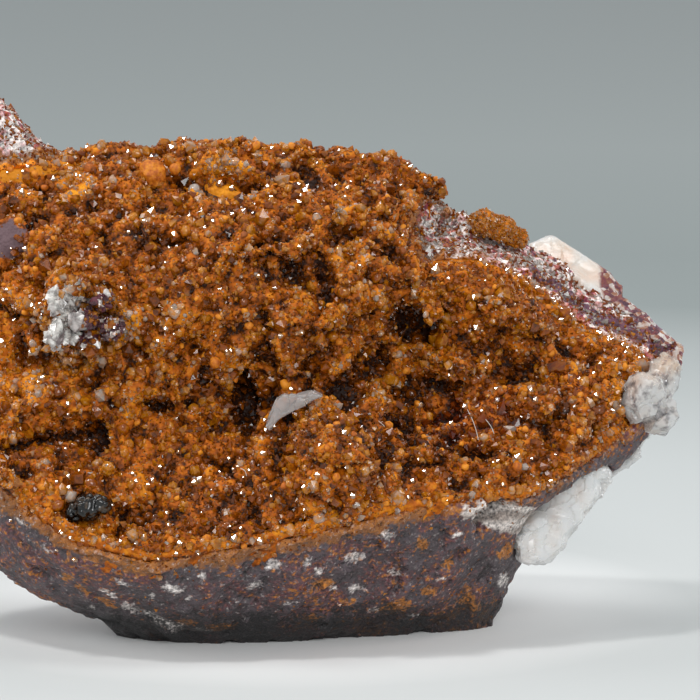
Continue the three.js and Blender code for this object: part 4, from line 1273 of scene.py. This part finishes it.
    def add_balls(self, settings, surface, proud, random):
        """Adds the balls of limonite, the large one among them."""
        count = settings.ball_count
        feet, corner = scattered(surface, (proud > 0.25).astype(float), count, random)
        ways = unit(surface.normals[corner].mean(axis=1))
        radii = uneven(SMALL_BALL_RADIUS, 0.3, count, random)
        place, index = in_front(surface.points, *BALL_PLACE)
        way = surface.normals[index]
        feet = np.concatenate([feet + ways * (0.3 * radii)[:, None], [place - way * 0.1]])
        ways = np.concatenate([ways, [way]])
        radii = np.concatenate([radii, [LARGE_BALL_RADIUS]])
        shape, tris = ball_shape()
        big_shape, big_tris = ball_shape(5)
        made, made_tris = joined(shape, tris, feet[:-1], radii[:-1, None], ways[:-1], random)
        big, big_tris = joined(big_shape, big_tris, feet[-1:], radii[-1:, None], ways[-1:], random)
        rough = 0.12 * fractal(big, 0.6, 3, SEED + 15) + 0.06 * chips(big, 0.5, SEED + 17) - 0.1
        big += unit(big - feet[-1]) * rough[:, None]
        made = made + 0.14 * warp(made, 0.35, SEED + 16)
        tone = np.repeat(random.normal(0.33, 0.13, count), len(shape))
        tone = np.concatenate([tone, np.full(len(big), 0.28)])
        every = np.concatenate([made, big])
        mesh = mesh_of("limonite_balls", in_box(every), np.concatenate([made_tris, big_tris + len(made)]),
                       {"stain": tone}, smooth=True)
        add_piece("limonite_balls", mesh, limonite_ball(settings), "stained_quartz")


class SPECIMEN_OT_knob(bpy.types.Operator):
    """Builds the small knob of crystals on the upper right edge"""

    bl_idname = "specimen.knob"
    bl_label = "Quartz knob"

    def execute(self, context):
        settings = context.scene.specimen.druse
        random = np.random.default_rng(SEED + 2)
        surface = refined("quartz_knob", 3)
        surface = raised(surface, 0.1 - creases(surface.points, 1.6, 0.7))
        # Painted shade and light: the stain is lower where the knob's surface lies in a hollow and higher
        # where it stands out.
        stain = 0.64 + 0.15 * (bulge(surface, 15) / 0.3).clip(-1, 1)
        marks = {"stain": stain, "red": 0 * stain}
        mesh = mesh_of("knob_bed", surface.points, surface.faces, marks, smooth=True)
        add_piece("knob_bed", mesh, limonite_bed(settings), "stained_quartz", "quartz_knob")

        count, everywhere = settings.knob_count, np.ones(len(surface.points))
        feet, axes, corner = rooted(surface, everywhere, count, 0.4, random)
        radii = uneven(KNOB_RADIUS, 0.3, count, random)
        crystals = quartz_points(feet - axes * (0.2 * radii)[:, None], axes, radii, random)
        tone = stain[corner].mean(axis=1) + random.normal(0, 0.1, count)
        add_crystals("knob_points", crystals, tone, np.zeros(count), stained_quartz(settings))
        return {"FINISHED"}


class SPECIMEN_OT_clear_knot(bpy.types.Operator):
    """Builds the knot of clear quartz around a fragment of rock"""

    bl_idname = "specimen.clear_knot"
    bl_label = "Clear quartz knot"

    def execute(self, context):
        specimen = context.scene.specimen
        random = np.random.default_rng(SEED + 3)
        surface = refined("clear_quartz_knot", 5)
        out = 0.3 * chips(surface.points, 1.6, SEED + 21) + 0.15 * fractal(surface.points, 0.6, 2)
        surface = raised(surface, out - 0.35)
        points = surface.points
        ragged = 0.5 * fractal(points, 1.2, 2, SEED + 22)
        x, z = points[:, 0] + ragged, points[:, 2] + ragged
        ends = smoothstep(*KNOT_FOOT_Z, z) + smoothstep(*KNOT_TOP_Z, z)
        fragment = smoothstep(*FRAGMENT_X, x) * (1 - ends)
        nothing = np.zeros(len(points))
        # The bulge paints shade in the core's hollows and light on its lumps.
        marks = {"selvage": 0.7 * ends, "granular": 0.8 - 0.2 * fragment, "violet": 0.3 * fragment,
                 "fleck": nothing, "ochre": 0.5 * ends, "striped": nothing, "yellow": nothing,
                 "foot_shade": nothing, "bulge": bulge(surface, 12).clip(-0.5, 0.5)}
        mesh = mesh_of("knot_core", points, surface.faces, marks)
        add_piece("knot_core", mesh, hematite_rock(specimen.rock), "clear_quartz", "clear_quartz_knot")
        clear, stained = clear_quartz(), stained_quartz(specimen.druse)
        # Each kind: name, count, radius, share of each place, material, tone of the stain.
        groups = (
            ("knot_crystals", 420, 0.34, (1 - fragment) * (1 - ends), clear, 0.85),
            ("knot_grains", 300, 0.2, fragment, clear, 0.0),
            ("knot_stained_crystals", 700, 0.24, ends + 0.1 * fragment + 0.08, stained, 0.55),
        )
        outer = smoothstep(0.2, -0.2, surface.normals[:, 1])
        for name, count, radius, part, material, tone in groups:
            feet, axes, _ = rooted(surface, part * outer, count, 0.4, random)
            radii = uneven(radius, 0.3, count, random)
            prisms = random.uniform(0.1, 1.2, count)
            feet = feet - axes * radii[:, None] * 0.3
            crystals = quartz_crystals(feet, axes, radii, prisms, random)
            tones = tone + random.normal(0, 0.2, count)
            add_crystals(name, crystals, tones, np.zeros(count), material, "clear_quartz")
        return {"FINISHED"}


class SPECIMEN_OT_barite(bpy.types.Operator):
    """Builds the cleaved barite: the layer behind the right end, the wedge, the corner and the flake"""

    bl_idname = "specimen.barite"
    bl_label = "Barite"

    def execute(self, context):
        material = cleaved_barite(context.scene.specimen.barite)
        # Piece, solid, width and depth of the cleaved faces, dark spots, peach stain, clearness.
        crystals = (
            ("barite_plates", "barite_layer", 3.2, 0.34, 0.42, 0.2, 0.0),
            ("barite_block", "barite_wedge", 2.6, 0.45, 0.0, 0.1, -0.2),
            ("barite_corner_crystal", "barite_corner", 2.8, 0.35, 0.52, 0.35, 0.3),
            ("barite_chip", "barite_flake", 1.2, 0.12, 0.0, 0.1, 1.0),
        )
        for number, (name, node, size, deep, spots, peach, clear) in enumerate(crystals):
            seed = SEED + 40 + 5 * number
            shape = slab(CHIP_OUTLINE, *CHIP_DEPTH) if node == "barite_flake" else None
            surface = refined(node, 3, shape)
            points = surface.points
            out = chips(points, size, seed) + 0.35 * chips(points, size / 2.7, seed + 1)
            out += 0.06 * fractal(points, 0.5, 2, seed + 2)
            x, y, z = points.T
            blade = (node == "barite_layer") * smoothstep(*BLADE_X, x) * smoothstep(*BLADE_Z, z)
            surface = raised(surface, deep * (out - 0.3) * (1 - 0.8 * blade))
            upper = (z - z.min()) / (z.max() - z.min())
            # The layer's upper edge carries the same red and violet grains as the rock.
            grains = (node == "barite_layer") * smoothstep(*GRAINY_X, x) * smoothstep(*GRAINY_Z, z)
            grains = grains * smoothstep(*GRAINY_Y, y)
            warm = peach + 0.8 * peach * smoothstep(0.6, 0.9, upper) + 0.15 * blade
            marks = {"spots": spots * (1 - blade), "peach": warm, "grains": grains,
                     "clear": np.full(len(points), clear)}
            mesh = mesh_of(name, surface.points, surface.faces, marks)
            add_piece(name, mesh, material, "white_barite", node)
        return {"FINISHED"}


class SPECIMEN_OT_goethite(bpy.types.Operator):
    """Builds the black balls of goethite"""

    bl_idname = "specimen.goethite"
    bl_label = "Goethite"

    def execute(self, context):
        surface = refined("goethite_nodule", 4)
        points = surface.points
        balls = cells(points + 0.2 * warp(points, 0.8, SEED), 0.75, SEED + 60)[0]
        out = 0.55 * dome(balls, 0.8) + 0.06 * fractal(points, 0.4, 2, SEED + 61) - 0.4
        surface = raised(surface, out)
        mesh = mesh_of("goethite_balls", surface.points, surface.faces, smooth=True)
        add_piece("goethite_balls", mesh, botryoidal_goethite(), "black_goethite", "goethite_nodule")
        return {"FINISHED"}


class SPECIMEN_OT_lint(bpy.types.Operator):
    """Lays the few fibres of lint that cling to the crystals"""

    bl_idname = "specimen.lint"
    bl_label = "Lint"

    def execute(self, context):
        surface, _ = arrays(bpy.data.objects["druse_bed"].data)
        made, tris = [], []
        for number, ends in enumerate(FIBRES):
            first, last = (in_front(surface, x, z)[0] + [0, -0.55, 0.1] for x, z in ends)
            share = np.linspace(0, 1, FIBRE_STEPS)[:, None]
            bow = np.sin(math.pi * share) * np.array([[0.12, -0.05, 0.16 - 0.08 * number]])
            points, faces = tube(first + share * (last - first) + bow, FIBRE_SIDES, FIBRE_RADIUS)
            tris.append(faces + number * len(points))
            made.append(points)
        mesh = mesh_of("lint", in_box(np.concatenate(made)), np.concatenate(tris), smooth=True)
        add_piece("lint", mesh, cotton_lint(), "clear_quartz")
        return {"FINISHED"}


class SPECIMEN_PT_panel(bpy.types.Panel):
    """Lists the steps that build the specimen"""

    bl_idname = "SPECIMEN_PT_panel"
    bl_label = "Quartz on barite"
    bl_space_type = "VIEW_3D"
    bl_region_type = "UI"
    bl_category = "Specimen"

    def draw(self, context):
        for operator in OPERATORS:
            self.layout.operator(operator.bl_idname)
        for group in ("druse", "rock", "barite", "stage"):
            box = self.layout.box()
            box.label(text=group.capitalize())
            settings = getattr(context.scene.specimen, group)
            for key in settings.__annotations__:
                box.prop(settings, key)


OPERATORS = (
    SPECIMEN_OT_stage, SPECIMEN_OT_rock, SPECIMEN_OT_druse, SPECIMEN_OT_knob, SPECIMEN_OT_clear_knot,
    SPECIMEN_OT_barite, SPECIMEN_OT_goethite, SPECIMEN_OT_lint,
)
CLASSES = (
    DruseSettings, RockSettings, BariteSettings, StageSettings, SpecimenSettings, *OPERATORS,
    SPECIMEN_PT_panel)


def register():
    """Makes the settings, the operators and the panel known to Blender."""
    for item in CLASSES:
        bpy.utils.register_class(item)
    bpy.types.Scene.specimen = PointerProperty(type=SpecimenSettings)


def unregister():
    """Takes back what register has made known."""
    del bpy.types.Scene.specimen
    for item in reversed(CLASSES):
        bpy.utils.unregister_class(item)


def main():
    """Builds the whole scene."""
    register()
    bpy.ops.specimen.stage()
    bpy.ops.specimen.rock()
    bpy.ops.specimen.druse()
    bpy.ops.specimen.knob()
    bpy.ops.specimen.clear_knot()
    bpy.ops.specimen.barite()
    bpy.ops.specimen.goethite()
    bpy.ops.specimen.lint()


if __name__ == "__main__":
    main()
